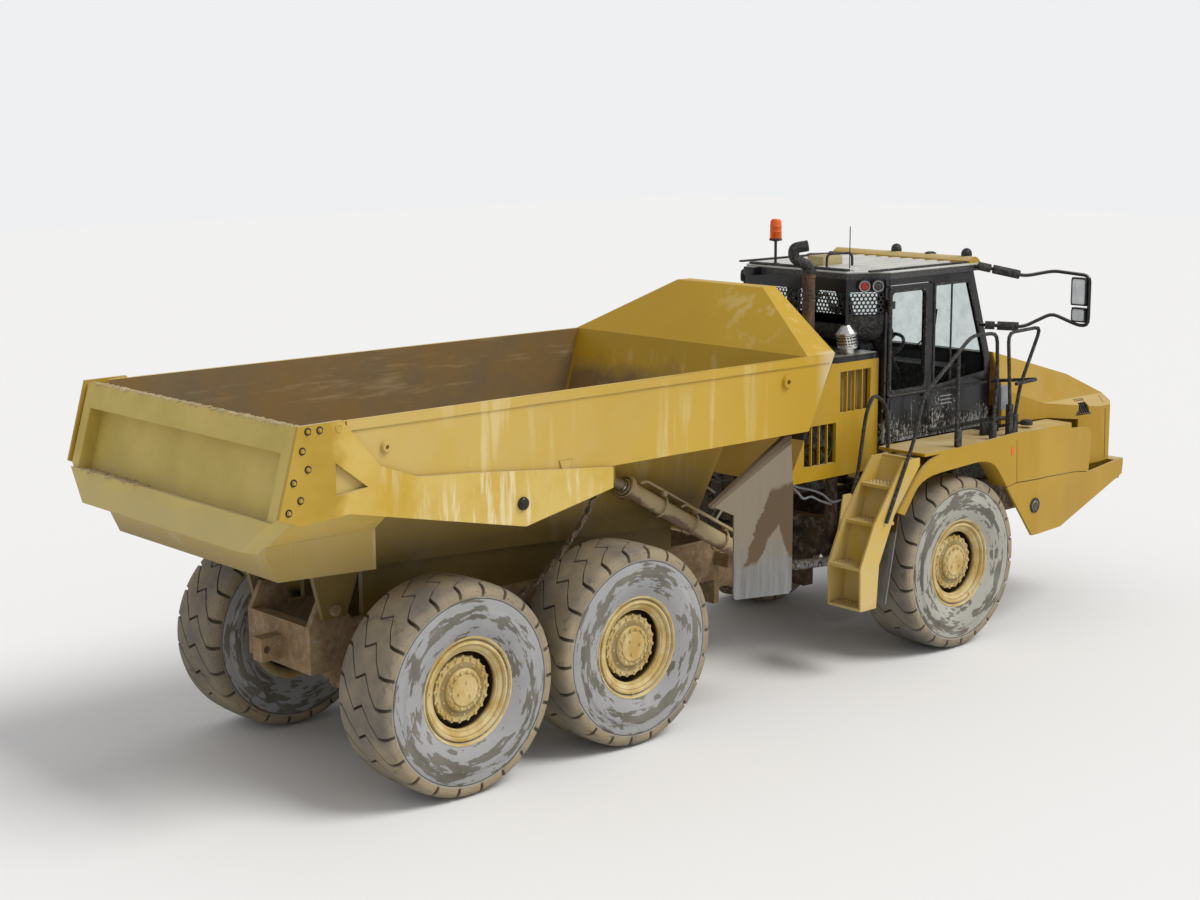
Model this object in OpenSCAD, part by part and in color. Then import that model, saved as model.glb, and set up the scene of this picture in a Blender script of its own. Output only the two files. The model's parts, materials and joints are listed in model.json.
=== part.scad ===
/* [Stations] */
// Front axle to the front of the bumper
front_reach = 2900; // [2700:10:3100]
// Front axle to the steering pivot behind it
hitch_back = 1490; // [1480:5:1520]
// Steering pivot to the middle axle
hitch_to_mid = 2550; // [2530:10:2700]
// Middle axle to the rear axle
axle_gap = 1670; // [1640:5:1800]
// Rear axle to the rearmost point of the tailgate
rear_reach = 1690; // [1600:10:1800]

/* [Wheels] */
// Outer radius of a tyre at the lug tips
tyre_r = 800; // [760:5:815]
// Width of a tyre
tyre_w = 600; // [520:5:620]
// Depth of the tread lugs
lug_h = 38; // [20:1:45]
// Number of lugs round a tyre
lugs = 22; // [16:1:30]
// Width of the sloping shoulder of the tyre
shoulder_r = 70; // [40:5:90]
// Lateral place of a tyre's middle plane
track_half = 1140; // [1120:5:1160]
// Outer radius of the rim flange
rim_r = 368; // [340:1:380]
// Thickness of the rim
rim_t = 22; // [15:1:30]
// Depth of the wheel disc behind the outer flange
disc_depth = 190; // [120:5:220]
// Radius of the planetary hub
planet_r = 215; // [180:5:240]
// How far the planetary hub stands out from the wheel disc
planet_len = 130; // [80:5:150]
// Radius of the round cap on the hub
cap_r = 105; // [80:5:130]
// Radius of the spindle that carries a wheel
spindle_r = 80; // [60:5:100]
// Length of the spindle in the hub
spindle_len = 140; // [100:5:180]

/* [Frames] */
// Half width of both frames over their rails
frame_half = 420; // [380:5:440]
// Thickness of a frame rail
rail_t = 50; // [30:1:60]
// Height of the frame rails' lower edge
rail_low = 850; // [830:5:880]
// Height of the frame rails' upper edge
rail_top = 1210; // [1180:5:1230]
// Radius of the round tube that lets the rear frame roll
roll_tube_r = 190; // [160:5:200]
// Wall of that tube
roll_tube_wall = 40; // [25:1:50]
// Length of that tube
roll_tube_len = 520; // [400:10:560]
// Radius of the steering pivot pins
steer_pin_r = 60; // [45:1:70]
// Height of the hitch casting
hitch_h = 420; // [380:5:440]
// Radius of an axle housing
axle_r = 150; // [120:5:170]
// Radius of a differential housing
diff_r = 270; // [230:5:290]
// Radius of the tow pin bores
tow_pin_r = 30; // [20:1:35]

/* [Bed] */
// Half width over the bed's side plates
bed_half = 1440; // [1400:5:1450]
// Height of the bed's top rail
bed_top = 2915; // [2850:5:2950]
// Height of the front wall's top edge
wall_top = 3396; // [3300:5:3420]
// Half width of the front wall's top edge
wall_top_half = 528; // [450:5:560]
// Wall thickness of the bed
bed_wall = 25; // [16:1:30]
// Height where the vertical side plates end
knee_z = 2290; // [2260:5:2320]
// Height of the bed's underside at the front
belly_z = 1430; // [1400:5:1450]
// Half width of the bed's underside at the front
belly_half = 520; // [480:5:540]
// Half width of the trough where it meets the side shelves
trough_half = 560; // [545:5:570]
// Height where the trough meets the side shelves
trough_z = 2080; // [2060:5:2100]
// Place of the front wall at its top edge, before the middle axle
wall_x = 2458; // [2430:2:2460]
// Dump hinge behind the middle axle
dump_back = 2200; // [2150:5:2250]
// Height of the dump hinge
dump_z = 1330; // [1300:5:1350]
// Radius of the dump hinge pins
dump_pin_r = 45; // [35:1:50]
// Radius of the tailgate pivot pins
gate_pin_r = 40; // [30:1:45]
// Tailgate pivot behind the middle axle
gate_pin_back = 1213; // [1180:1:1240]
// Height of the tailgate pivot
gate_pin_z = 2140; // [2120:1:2150]
// Thickness of a tailgate arm
arm_t = 25; // [15:1:28]

/* [Cab] */
// Half width of the cab
cab_half = 850; // [800:5:860]
// Height of the cab's floor and of the decks
deck_z = 1900; // [1880:5:1920]
// Height of the cab's side walls
cab_h = 1500; // [1450:5:1520]
// Thickness of a cab wall
cab_wall = 40; // [25:1:50]
// Thickness of a window pane
pane_t = 6; // [4:1:10]
// Width of a cab door
door_w = 620; // [580:5:630]
// Thickness of a cab door
door_t = 40; // [30:1:50]
// Radius of a handrail tube
rail_r = 17; // [12:1:20]

/* [Front body] */
// Half width over the fenders
fender_half = 1440; // [1430:5:1450]
// Half width over the bumper at the nose
nose_half = 1200; // [1185:5:1260]
// Thickness of the body panels
panel_t = 25; // [10:1:30]
// Half width of the hood
hood_half = 1050; // [1000:5:1080]
// Height of the hood's rear edge
hood_rear_z = 2600; // [2550:5:2620]
// Height of the hood's front edge
hood_front_z = 2060; // [2030:5:2100]
// Width of a step tread
step_w = 380; // [360:5:385]

/* [Hoist] */
// Lateral place of a hoist cylinder
hoist_y = 665; // [655:1:668]
// Radius of a hoist barrel
hoist_r = 72; // [65:1:76]
// Lower hoist pin before the middle axle
hoist_low_x = 2050; // [2000:5:2080]
// Height of the lower hoist pin
hoist_low_z = 1045; // [1035:5:1055]
// Upper hoist pin before the middle axle
hoist_up_x = 300; // [280:5:320]
// Height of the upper hoist pin
hoist_up_z = 2030; // [2020:5:2035]

/* [Clearances] */
// Radial running clearance of a shaft in its bore
run_gap = 0.06; // [0.02:0.01:0.1]
// Gap between a part and its seat on another body
seat_gap = 0.3; // [0.2:0.1:0.5]
// Gap between moving panels
panel_gap = 8; // [6:1:12]

/* [Hidden] */
$fn = 64;

total_len = front_reach + hitch_back + hitch_to_mid + axle_gap + rear_reach;
front_x = total_len / 2 - front_reach;
hitch_x = front_x - hitch_back;
mid_x = hitch_x - hitch_to_mid;
rear_x = mid_x - axle_gap;
// The loaded radius of a tyre equals its free radius, since the truck is empty
hub_z = tyre_r;
eps = 1;

paint = "goldenrod";
paint_old = "darkkhaki";
black = "dimgray";
steel = "silver";
mud = "rosybrown";

// Plate with its outline in X and Z, between two Y planes
module side_plate(points, y0, y1)
  translate([0, y1, 0]) rotate([90, 0, 0]) linear_extrude(y1 - y0) polygon(points);

// Plate with its outline in Y and Z, between two X planes
module cross_plate(points, x0, x1)
  translate([x0, 0, 0]) rotate([90, 0, 90]) linear_extrude(x1 - x0) polygon(points);

// Box between two corners
module block(a, b) translate(a) cube(b - a);

// Round bar between two points
module bar(a, b, r) {
  d = b - a;
  translate(a) rotate([0, acos(d[2] / norm(d)), atan2(d[1], d[0])]) cylinder(r = r, h = norm(d));
}

function unit(v) = v / norm(v);

// Each inner corner of a route as a short curve that starts and ends elbow away from it
function curved(p, elbow, steps = 3) = concat([p[0]],
  [for (i = [1:len(p) - 2]) let (
      a = p[i] + unit(p[i - 1] - p[i]) * min(elbow, norm(p[i - 1] - p[i]) * 0.4),
      b = p[i] + unit(p[i + 1] - p[i]) * min(elbow, norm(p[i + 1] - p[i]) * 0.4))
    for (k = [0:steps]) let (t = k / steps) a * (1 - t) * (1 - t) + p[i] * 2 * t * (1 - t) + b * t * t],
  [p[len(p) - 1]]);

// Rings of a tube: each ring is the one before it, slid along the tube to the mitre plane
function first_ring(p, r, sides) = let (d = unit(p[1] - p[0]),
    u = unit(cross(d, abs(d[1]) < 0.9 ? [0, 1, 0] : [1, 0, 0])), v = cross(d, u))
  [for (k = [0:sides - 1]) p[0] + r * (cos(360 * k / sides) * u + sin(360 * k / sides) * v)];
function slid_ring(ring, p, i) = let (d = unit(p[i] - p[i - 1]),
    n = i == len(p) - 1 ? d : unit(d + unit(p[i + 1] - p[i])))
  [for (q = ring) q + d * (((p[i] - q) * n) / (d * n))];
function tube_rings(p, ring, i) = i == len(p) ? [] :
  let (next = slid_ring(ring, p, i)) concat(next, tube_rings(p, next, i + 1));

// Bent tube through a list of points
module bent_tube(points, r, sides = 8) {
  start = first_ring(points, r, sides);
  n = len(points);
  polyhedron(concat(start, tube_rings(points, start, 1)), concat(
    [[for (k = [0:sides - 1]) k]],
    [for (i = [0:n - 2], k = [0:sides - 1]) let (a = i * sides + k, b = i * sides + (k + 1) % sides)
      each [[a, b + sides, b], [a, a + sides, b + sides]]],
    [[for (k = [sides - 1:-1:0]) (n - 1) * sides + k]]));
}

// Round bar along Y
module y_bar(x, z, y0, y1, r)
  translate([x, y0, z]) rotate([-90, 0, 0]) cylinder(r = r, h = y1 - y0);

// Round bar along X
module x_bar(x0, x1, y, z, r) translate([x0, y, z]) rotate([0, 90, 0]) cylinder(r = r, h = x1 - x0);

// The same piece on the right side and, mirrored, on the left
module both_sides() {
  children();
  mirror([0, 1, 0]) children();
}

module from_front() translate([front_x, 0, 0]) children();
module from_mid() translate([mid_x, 0, 0]) children();

// Wheels

wheel_in = track_half - tyre_w / 2;
wheel_out = track_half + tyre_w / 2;
flange_y = wheel_out - 60;
disc_y = flange_y - disc_depth;
hub_face_y = disc_y - spindle_len - panel_gap;
rim_inner_y = wheel_in + 60;
bead_gap = 0.3;
// Half width of the middle row of blocks, and the share of the pitch that a block fills
middle_half = 95;
lug_share = 0.78;

// Outline of a tyre from its inner to its outer side: sidewalls, shoulders and tread
function tyre_outline(tread_r) = let (h = tyre_w / 2, low = rim_r + bead_gap,
    half = [[low, h - 60], [low + 60, h - 22], [low + 150, h], [low + 260, h], [tread_r - shoulder_r, h - 12],
      [tread_r, h - 12 - shoulder_r]])
  concat([for (q = half) [q[0], track_half + q[1]]],
    [for (i = [len(half) - 1:-1:0]) [half[i][0], track_half - half[i][1]]]);

// Ring of blocks that stands out between two planes across the tread
module lug_ring(y0, y1, turn) translate([0, 0, track_half + y0]) linear_extrude(y1 - y0)
  polygon([for (k = [0:lugs - 1], e = [[0, -20], [0, lug_h + 10], [lug_share, lug_h + 10], [lug_share, -20]])
    let (a = 360 * (k + e[0] + turn) / lugs, r = tyre_r - lug_h + e[1]) [r * cos(a), r * sin(a)]]);

module tyre(x, side) color("gray")
  translate([x, 0, hub_z]) mirror([0, side, 0]) rotate([90, 0, 0]) {
    rotate_extrude() polygon(tyre_outline(tyre_r - lug_h));
    intersection() {
      rotate_extrude() polygon(tyre_outline(tyre_r));
      union() {
        lug_ring(-tyre_w / 2, -middle_half, 0);
        lug_ring(-middle_half - eps, middle_half + eps, 0.5);
        lug_ring(middle_half, tyre_w / 2, 0);
      }
    }
  }

module rim(x, side) color(paint)
  translate([x, 0, hub_z]) mirror([0, side, 0]) rotate([90, 0, 0]) difference() {
    rotate_extrude($fn = 96) {
      translate([rim_r - rim_t - 25, rim_inner_y - 40]) square([rim_t, flange_y - rim_inner_y + 40]);
      for (y = [rim_inner_y - 40, flange_y - rim_t])
        translate([rim_r - rim_t - 25, y]) square([rim_t + 25, rim_t]);
      translate([0, disc_y - rim_t]) square([rim_r - rim_t - 20, rim_t]);
      translate([0, hub_face_y]) square([planet_r, disc_y + planet_len - hub_face_y]);
      translate([0, disc_y + planet_len - eps]) square([cap_r, 25]);
    }
    translate([0, 0, hub_face_y - eps]) cylinder(r = spindle_r + run_gap, h = spindle_len + eps);
  }

// Axle housing with its differential and two spindles
module axle(x) translate([x, 0, hub_z]) {
  spindle_tip = hub_face_y + spindle_len - 10;
  y_bar(0, 0, -spindle_tip, spindle_tip, spindle_r);
  difference() {
    union() {
      y_bar(0, 0, seat_gap - hub_face_y, hub_face_y - seat_gap, axle_r);
      sphere(r = diff_r);
      x_bar(-diff_r - 120, diff_r + 120, 0, 0, 90);
    }
  }
}

// Front body, measured from the front axle

cab_rear = -470;
cab_low_front = 1100;
cab_top_front = 800;
cab_top = deck_z + cab_h;
seam_x = 760;
nose_x = 2810;
chin_top = 1400;
frame_front = front_reach - 200;
frame_rear = -900;
// Front face of the subframe's rear legs
leg_x = -340;
// Room between a rail and the axle under it
arch_gap = 40;

// Frame rail on the right side, arched over the axles that it passes
module rail(x0, x1, axles) difference() {
  block([x0, -frame_half, rail_low], [x1, rail_t - frame_half, rail_top]);
  for (x = axles) y_bar(x, hub_z, -frame_half - eps, rail_t - frame_half + eps, axle_r + arch_gap);
}

module front_frame() color(black) from_front() {
  both_sides() rail(frame_rear, frame_front, [0]);
  for (x = [frame_rear, 700, frame_front - 120])
    block([x, -frame_half, rail_low], [x + 120, frame_half, rail_top]);
  // Upper and lower ears of the steering pivot
  difference() {
    for (z = [hitch_mid_z + hitch_h / 2 + lug_gap, hitch_mid_z - hitch_h / 2 - lug_gap - 60]) {
      translate([-hitch_back, 0, z]) cylinder(r = 150, h = 60);
      block([-hitch_back, -150, z], [frame_rear + eps, 150, z + 60]);
    }
    translate([-hitch_back, 0, 0]) cylinder(r = steer_pin_r + run_gap, h = 2 * rail_top);
  }
  block([frame_rear, -300, rail_low - 310], [frame_rear + 120, 300, rail_low + eps]);
  // Subframe legs that carry the cab, the cooling box and the decks
  both_sides() {
    block([leg_x - 100, -cab_half + 100, rail_top - 60], [leg_x, rail_t - frame_half, rail_top]);
    block([leg_x - 100, -cab_half + 100, rail_top - 60], [leg_x, 200 - cab_half, deck_z - seat_gap]);
    block([700, -cab_half + 100, rail_top - 60], [800, rail_t - frame_half, rail_top]);
    block([700, -cab_half + 100, rail_top - 60], [800, 200 - cab_half, deck_z - seat_gap]);
    block([-880, -600, rail_top - 60], [-800, rail_t - frame_half, rail_top]);
    block([-880, -600, rail_top - 60], [-800, -520, box_low - seat_gap]);
    block([-520, -700, rail_top - 60], [-440, -620, box_low - seat_gap]);
    block([-520, -700, rail_top - 60], [-440, rail_t - frame_half, rail_top]);
    // Lugs that hold the steering barrels
    for (z = [pin_z + eye_h / 2 + lug_gap, pin_z - eye_h / 2 - lug_gap - 30])
      block([steer_base[0] - hitch_back - 70, -steer_base[1] - 70, z],
        [steer_base[0] - hitch_back + 70, rail_t - frame_half, z + 30]);
    block([steer_base[0] - hitch_back - 70, -frame_half, pin_z - eye_h / 2 - lug_gap - 30],
      [steer_base[0] - hitch_back + 70, rail_t - frame_half, rail_low + eps]);
    translate([steer_base[0] - hitch_back, -steer_base[1], pin_z - eye_h / 2 - lug_gap - 30 - 10])
      cylinder(r = steer_small_r, h = eye_h + 2 * lug_gap + 80);
    // Spring seats over the front axle
    block([-90, -frame_half - 130, hub_z + axle_r + seat_gap], [90, eps - frame_half, rail_top - 60]);
  }
}

module front_axle() color(mud) axle(front_x);

// Chin of the front body, below the seam with the fender
beam_top = 1385;
beam_low = 1180;
beam_depth = 160;
seam = [[626, 1433], [seam_x, 1457], [1300, 1440], [1900, 1400], [2140, 1360]];
chin = concat([[1040, 906], [1590, 900], [front_reach - 15, 1225], [front_reach, 1330], [front_reach, beam_top],
  [front_reach - 340, 1372]], [for (i = [4:-1:0]) seam[i] - [0, panel_gap]]);
// Plan of the front body: straight beside the wheel, narrower towards the nose
taper_x = 1120;
function front_plan(t) = [[-2000, t - fender_half], [taper_x, t - fender_half], [front_reach, t - nose_half]];
function skin_plan(t) = concat(front_plan(t), [for (i = [2:-1:0]) front_plan(0)[i]]);

// Skin panel of the front body with its outline in X and Z
module skin(points, t = panel_t) intersection() {
  side_plate(points, -fender_half - eps, 0);
  linear_extrude(4000) polygon(skin_plan(t));
}
tow_x = front_reach - 60;
hood_nose = front_reach - 130;
hood_pin_x = hood_nose - 60;
hood_pin_z = 1490;
hood_pin_r = 12;
lug_y = 560;
function body_half(x) = fender_half - (fender_half - nose_half) * max(0, x - taper_x) / (front_reach - taper_x);

module skirts() color(paint) from_front() both_sides() skin(chin);

module bumper() color(paint) from_front() {
  back = front_reach - beam_depth;
  ends = panel_t + seat_gap;
  difference() {
    intersection() {
      side_plate([[back, beam_low], [front_reach - 30, beam_low], [front_reach - 15, 1225],
        [front_reach, 1330], [front_reach, beam_top], [back, beam_top]], -nose_half, nose_half);
      linear_extrude(2 * beam_top) polygon([for (e = [[back, -1], [front_reach, -1], [front_reach, 1], [back, 1]])
        [e[0], e[1] * (body_half(e[0]) - ends)]]);
    }
    // Bore of the tow pin
    translate([tow_x, 0, 0]) cylinder(r = tow_pin_r, h = 2 * beam_top);
  }
  both_sides() {
    // Hinge lugs and pins of the hood
    for (y = [-lug_y - 50, -lug_y + 30]) {
      side_plate([[hood_pin_x - 25, hood_pin_z], [hood_pin_x + 15, beam_top - 10], [hood_pin_x + 75, beam_top - 10],
        [hood_pin_x + 25, hood_pin_z]], y, y + 20);
      y_bar(hood_pin_x, hood_pin_z, y, y + 20, 25);
    }
    y_bar(hood_pin_x, hood_pin_z, -lug_y - 50, -lug_y + 50, hood_pin_r);
    // Bracket on the frame
    block([frame_front - 120, -frame_half, rail_top + seat_gap], [back + eps, 80 - frame_half, beam_top - 10]);
  }
}

module engine() color("dimgray") from_front() {
  half = frame_half - rail_t - seat_gap;
  block([1150, -half, 950], [2300, half, 1850]);
}

arch_edge = curved([[-860, 1386], [-640, 1690], [380, 1740], [626, 1433]], 260, 5);
arch = concat(arch_edge, [for (i = [1:4]) seam[i]],
  curved([[2140, 1360], [2190, 1800], [1750, 1845]], 120, 3), [[1745, deck_z], [seam_x, 1930]],
  curved([[seam_x, 1930], [-560, deck_z - 25], [-950, 1420]], 300, 4));
module fenders() color(paint) from_front() both_sides() {
  skin(arch);
  // Deck beside the cab and the hood
  block([-600, -fender_half, deck_z - 25], [seam_x, -cab_half - 60, deck_z]);
  intersection() {
    block([seam_x - eps, -fender_half, deck_z - 25], [1745, -hood_half - panel_gap, deck_z]);
    linear_extrude(4000) polygon(concat(front_plan(0), [[front_reach, 0], [-2000, 0]]));
  }
  // Flange round the arch
  side_plate(concat(arch_edge, [for (i = [len(arch_edge) - 1:-1:0]) arch_edge[i] + [0, 22]]),
    -fender_half, 190 - fender_half);
  // Inner wall over the wheel, seated on the subframe's leg
  side_plate([[leg_x + seat_gap, 1720], [420, 1740], [420, 1765], [leg_x + seat_gap, 1745]], -fender_half, 150 - cab_half);
}

// Side stairs with their boxes, by the height and the rear edge of each tread
rail_y = fender_half - 22;
step_z = [1650, 1344, 985, 600];
step_x = [-967, -1159, -1370, -1380];
tread_t = 28;
tread_len = 220;
module steps() color(paint_old) from_front() {
  inner = step_w - rail_y;
  both_sides() {
    for (i = [0:2]) {
      block([step_x[i] - 40, -rail_y, step_z[i] - tread_t], [step_x[i] + tread_len - 40, inner, step_z[i]]);
      // Plate that closes the back of the step
      next = i == 0 ? deck_z - 50 : step_z[i - 1] - 27;
      side_plate([[step_x[i] + 160, step_z[i] - eps], [step_x[i] + 172, step_z[i] - eps],
        [step_x[i] + 252, next], [step_x[i] + 240, next]], -rail_y + 10, inner - 10);
    }
    // Cheeks on both sides of the treads
    for (y = [-rail_y, inner - 20])
      side_plate([[step_x[3] - 30, step_z[3]], [step_x[3] + 180, step_z[3]], [step_x[2] + 200, step_z[2]],
        [step_x[1] + 184, step_z[1] + 56], [step_x[0] + 327, deck_z - 100], [step_x[0] + 327, deck_z - 30],
        [step_x[0] + 107, deck_z - 30], [step_x[1] - 91, step_z[1]], [step_x[2] - 50, step_z[2]]], y, y + 20);
    // Open box of the lowest step
    block([step_x[3] - 30, -rail_y, step_z[3]], [step_x[3] + 180, inner, step_z[3] + 25]);
    block([-720, -rail_y, deck_z - 100], [-680, inner, deck_z - 30]);
    // Guard plate beside the stairs
    side_plate([[-1300, 1120], [-1180, 1010], [-1060, 1120], [-1000, 1420], [-1120, 1560], [-1220, 1560]],
      inner, inner + 12);
  }
}

module wheel_flaps() color("gray") from_front() both_sides()
  side_plate([[-1075, 610], [-1063, 608], [-905, 1385], [-900, 1440], [-914, 1440], [-917, 1385]],
    panel_t + seat_gap - fender_half, -cab_half - 60);

module handrails() color(black) from_front() both_sides() {
  y = panel_t + rail_r + seat_gap - fender_half;
  y_foot = -rail_y - rail_r - seat_gap;
  elbow = 90;
  bent_tube(curved([[-1105, y_foot, 1350], [-1045, y_foot, 1470], [-753, y_foot, 2036], [-582, y, 2417], [85, y, 2893],
             [459, y, 2886], [482, y, 2444], [430, y, 2000], [430, y, deck_z + seat_gap]], elbow), rail_r);
  bent_tube([[-100, y, deck_z + seat_gap], [-100, y, 2745]], rail_r);
  // Rail on the inner side of the stairs
  y_in = step_w - rail_y + rail_r + 12 + seat_gap;
  bent_tube(curved([[-1150, y_in, 1350], [-1000, y_in, 1700], [-900, y_in, 2250], [-800, y_in, 2420],
    [-620, y_in, 2300], [-590, y_in, 2020], [-590, y_in, deck_z + seat_gap]], elbow), rail_r);
  bent_tube(curved([[700, y, deck_z + seat_gap], [700, y, 2000], [629, y, 2872], [1128, y, 2887], [830, y, 2355],
             [750, y, 2000], [750, y, deck_z + seat_gap]], elbow), rail_r);
}

// Cab

side_wall = [[cab_rear, deck_z], [cab_low_front, deck_z], [cab_low_front, 2540],
             [cab_top_front, cab_top], [cab_rear, cab_top]];
door_front = cab_rear + 30 + door_w;
rear_window = [[door_front + 50, 2350], [cab_low_front - 80, 2420], [cab_low_front - 90, 2560],
               [cab_top_front - 70, cab_top - 90], [door_front + 50, cab_top - 90]];

module cab_shell() color(black) from_front() {
  cab_walls();
  both_sides() hinge_lugs();
}
module cab_walls() difference() {
  side_plate(side_wall, -cab_half, cab_half);
  side_plate([[cab_rear + cab_wall, deck_z + cab_wall], [cab_low_front - cab_wall, deck_z + cab_wall],
    [cab_low_front - cab_wall, 2545], [cab_top_front - cab_wall, cab_top + eps],
    [cab_rear + cab_wall, cab_top + eps]], cab_wall - cab_half, cab_half - cab_wall);
  // Side windows in front of the doors and the door openings
  side_plate(rear_window, -cab_half - eps, cab_half + eps);
  block([cab_rear + 30, -cab_half - eps, deck_z + 40],
        [door_front, cab_half + eps, cab_top - 60]);
  // Windscreen and rear window
  block([cab_top_front - 60, 80 - cab_half, 2600], [cab_low_front + eps, cab_half - 80, cab_top - 80]);
  block([cab_rear - eps, 100 - cab_half, 2350], [cab_rear + cab_wall + eps, cab_half - 100, cab_top - 90]);
}

roof_plan = [[-744, -620], [-420, -cab_half - 10], [860, -cab_half - 10], [900, -500], [900, 500],
  [860, cab_half + 10], [-420, cab_half + 10], [-744, 620]];
roof_z = cab_top + seat_gap;
roof_t = 70;
module cab_roof() color(steel) from_front() {
  translate([0, 0, roof_z]) linear_extrude(roof_t) polygon(roof_plan);
  // Ribs pressed along the roof
  for (y = [-600:150:600]) block([-640, y - 25, roof_z + roof_t - eps], [780, y + 25, roof_z + roof_t + 12]);
}

// Yellow strip over the windscreen with its two round lamps
module roof_visor() color(paint) from_front() {
  z = roof_z + roof_t + seat_gap;
  side_plate([[800, z], [895, z], [880, z + 42], [820, z + 48]], -cab_half, cab_half);
  for (y = [-cab_half + 120, 120]) {
    translate([850, y, z + 40]) cylinder(r = 30, h = 40);
    translate([850, y, z + 79]) sphere(r = 48, $fn = 32);
  }
}

// The windscreen leans with the front pillars
screen_lean = (cab_low_front - cab_top_front) / (cab_top - 2540);
function screen_at(z) = cab_low_front - screen_lean * (z - 2540) - 20;
module cab_glass() color("lightblue") from_front() {
  both_sides() side_plate(rear_window, -cab_half + 15, -cab_half + 15 + pane_t);
  block([cab_rear + 15, 100 - cab_half, 2350], [cab_rear + 15 + pane_t, cab_half - 100, cab_top - 90]);
  side_plate([for (e = [[0, 2600], [pane_t, 2600], [pane_t, cab_top - 80], [0, cab_top - 80]])
    [screen_at(e[1]) + e[0], e[1]]], 80 - cab_half, cab_half - 80);
}

module seat() color("dimgray") from_front() {
  block([-120, -220, deck_z + cab_wall + seat_gap], [260, 220, deck_z + 380]);
  block([-160, -260, deck_z + 380 - eps], [340, 260, deck_z + 500]);
  side_plate([[-160, deck_z + 499], [-60, deck_z + 499], [-140, deck_z + 1100], [-240, deck_z + 1100]],
    -250, 250);
}

module dash() color("dimgray") from_front() {
  block([760, -600, deck_z + cab_wall + seat_gap], [1050, 600, deck_z + 560]);
  bar([770, 0, deck_z + 400], [560, 0, deck_z + 720], 35);
  translate([555, 0, deck_z + 728]) rotate([0, -34, 0]) {
    rotate_extrude() translate([190, 0]) circle(r = 17);
    for (a = [0, 120, 240]) rotate([0, 0, a]) rotate([0, 90, 0]) cylinder(r = 12, h = 185);
    cylinder(r = 50, h = 30, center = true);
  }
}

// Cooling box behind the cab
box_low = 1670;
box_top = 2690;
box_half = 800;
box_side = [[-490, box_low], [-1690, box_low], [-1125, box_top], [-490, box_top]];
lid_t = 55;
// Window of the cooling box with its slats, in the right side wall
box_windows = [[-1010, -600, 2240, 2610], [-1480, -1060, 1800, 2160]];
module cooling_box() color(paint) from_front() {
  difference() {
    side_plate(box_side, -box_half, box_half);
    side_plate([[-530, box_low + 40], [-1615, box_low + 40], [-1100, box_top - 40], [-530, box_top - 40]],
      40 - box_half, box_half - 40);
    for (w = box_windows) block([w[0], -box_half - eps, w[2]], [w[1], box_half + eps, w[3]]);
  }
  // Core of the cooler behind the windows
  block([-950, -700, box_low + 39], [-850, 700, box_top - 39]);
  // Slats in the windows
  both_sides() for (w = box_windows, k = [1:3]) let (x = w[0] + (w[1] - w[0]) * k / 4)
    block([x - 6, -box_half + 8, w[2] - eps], [x + 6, -box_half + 32, w[3] + eps]);
}

module box_lid() color(black) from_front() {
  z = box_top + seat_gap;
  difference() {
    translate([0, 0, z]) linear_extrude(lid_t)
      polygon([[-1140, -box_half], [-500, -box_half], [-500, box_half], [-1140, box_half]]);
    translate([-1140, -box_half, z - eps]) rotate(45) cube([120, 120, 3 * lid_t], center = true);
    translate([-1140, box_half, z - eps]) rotate(45) cube([120, 120, 3 * lid_t], center = true);
  }
}

// Plate with rows of hexagonal holes, in X and Y
module perforated(w, h, pitch, hole, t) {
  nx = floor((w - pitch) / pitch);
  ny = floor((h - pitch) / (pitch * 0.87));
  centres = [for (j = [0:ny - 1], i = [0:nx - 1 - j % 2]) [(w - (nx - 1) * pitch) / 2 + i * pitch + (j % 2) * pitch / 2,
    (h - (ny - 1) * pitch * 0.87) / 2 + j * pitch * 0.87]];
  linear_extrude(t) polygon(
    concat([[0, 0], [w, 0], [w, h], [0, h]], [for (c = centres, k = [0:5]) c + hole * [cos(60 * k + 30), sin(60 * k + 30)]]),
    concat([[0, 1, 2, 3]], [for (n = [0:len(centres) - 1]) [for (k = [0:5]) 4 + 6 * n + k]]));
}

// Guard that hangs under the roof's rear edge: a middle panel and two corner panels
guard_low = 3060;
guard_t = 8;
guard_rail = 60;
guard_band = 90;
module rear_guard() color(black) from_front() {
  h = cab_top - guard_low;
  middle = 2 * 620;
  run = cab_rear - 12 + 744;
  rise = (cab_half + 10 - 620) * run / 324;
  corner = norm([run, rise]);
  angle = atan2(rise, run);
  translate([-744, 620, guard_low]) rotate([90, 0, -90]) perforated(middle, h - guard_rail, 62, 22, guard_t);
  both_sides() translate([-747, 10 - 620, guard_low]) rotate([90, 0, -angle]) {
    perforated(corner - 2, h - guard_band, 62, 22, guard_t);
    // Plain band that carries the lamp
    translate([0, h - guard_band - eps, 0]) cube([corner - 2, guard_band + eps, guard_t]);
  }
  // Upper rail and the lamp pods
  both_sides() {
    block([-744 - guard_t, -600, cab_top - guard_rail - eps], [-700, 0, cab_top]);
    translate([-560, -760, cab_top - 45]) rotate([0, -90, -angle]) cylinder(r = 34, h = 40);
  }
  block([-850, 430, cab_top - 20], [-744, 560, cab_top + 60]);
}

module exhaust() color("dimgray") from_front() {
  z = box_top + lid_t + 2 * seat_gap;
  bent_tube(curved([[-990, -400, z], [-990, -400, z + 560], [-985, -330, z + 690], [-985, -330, z + 850],
    [-960, -430, z + 920]], 90), 56, 12);
  translate([-800, -700, z]) {
    cylinder(r = 95, h = 40);
    translate([0, 0, 39]) cylinder(r = 78, h = 170);
    translate([0, 0, 208]) cylinder(r1 = 92, r2 = 60, h = 60);
  }
}

module beacon() color("orange") from_front() {
  translate([-690, 300, roof_z + roof_t + seat_gap]) {
    cylinder(r = 14, h = 300);
    translate([0, 0, 299]) cylinder(r = 55, h = 135);
  }
}

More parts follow.
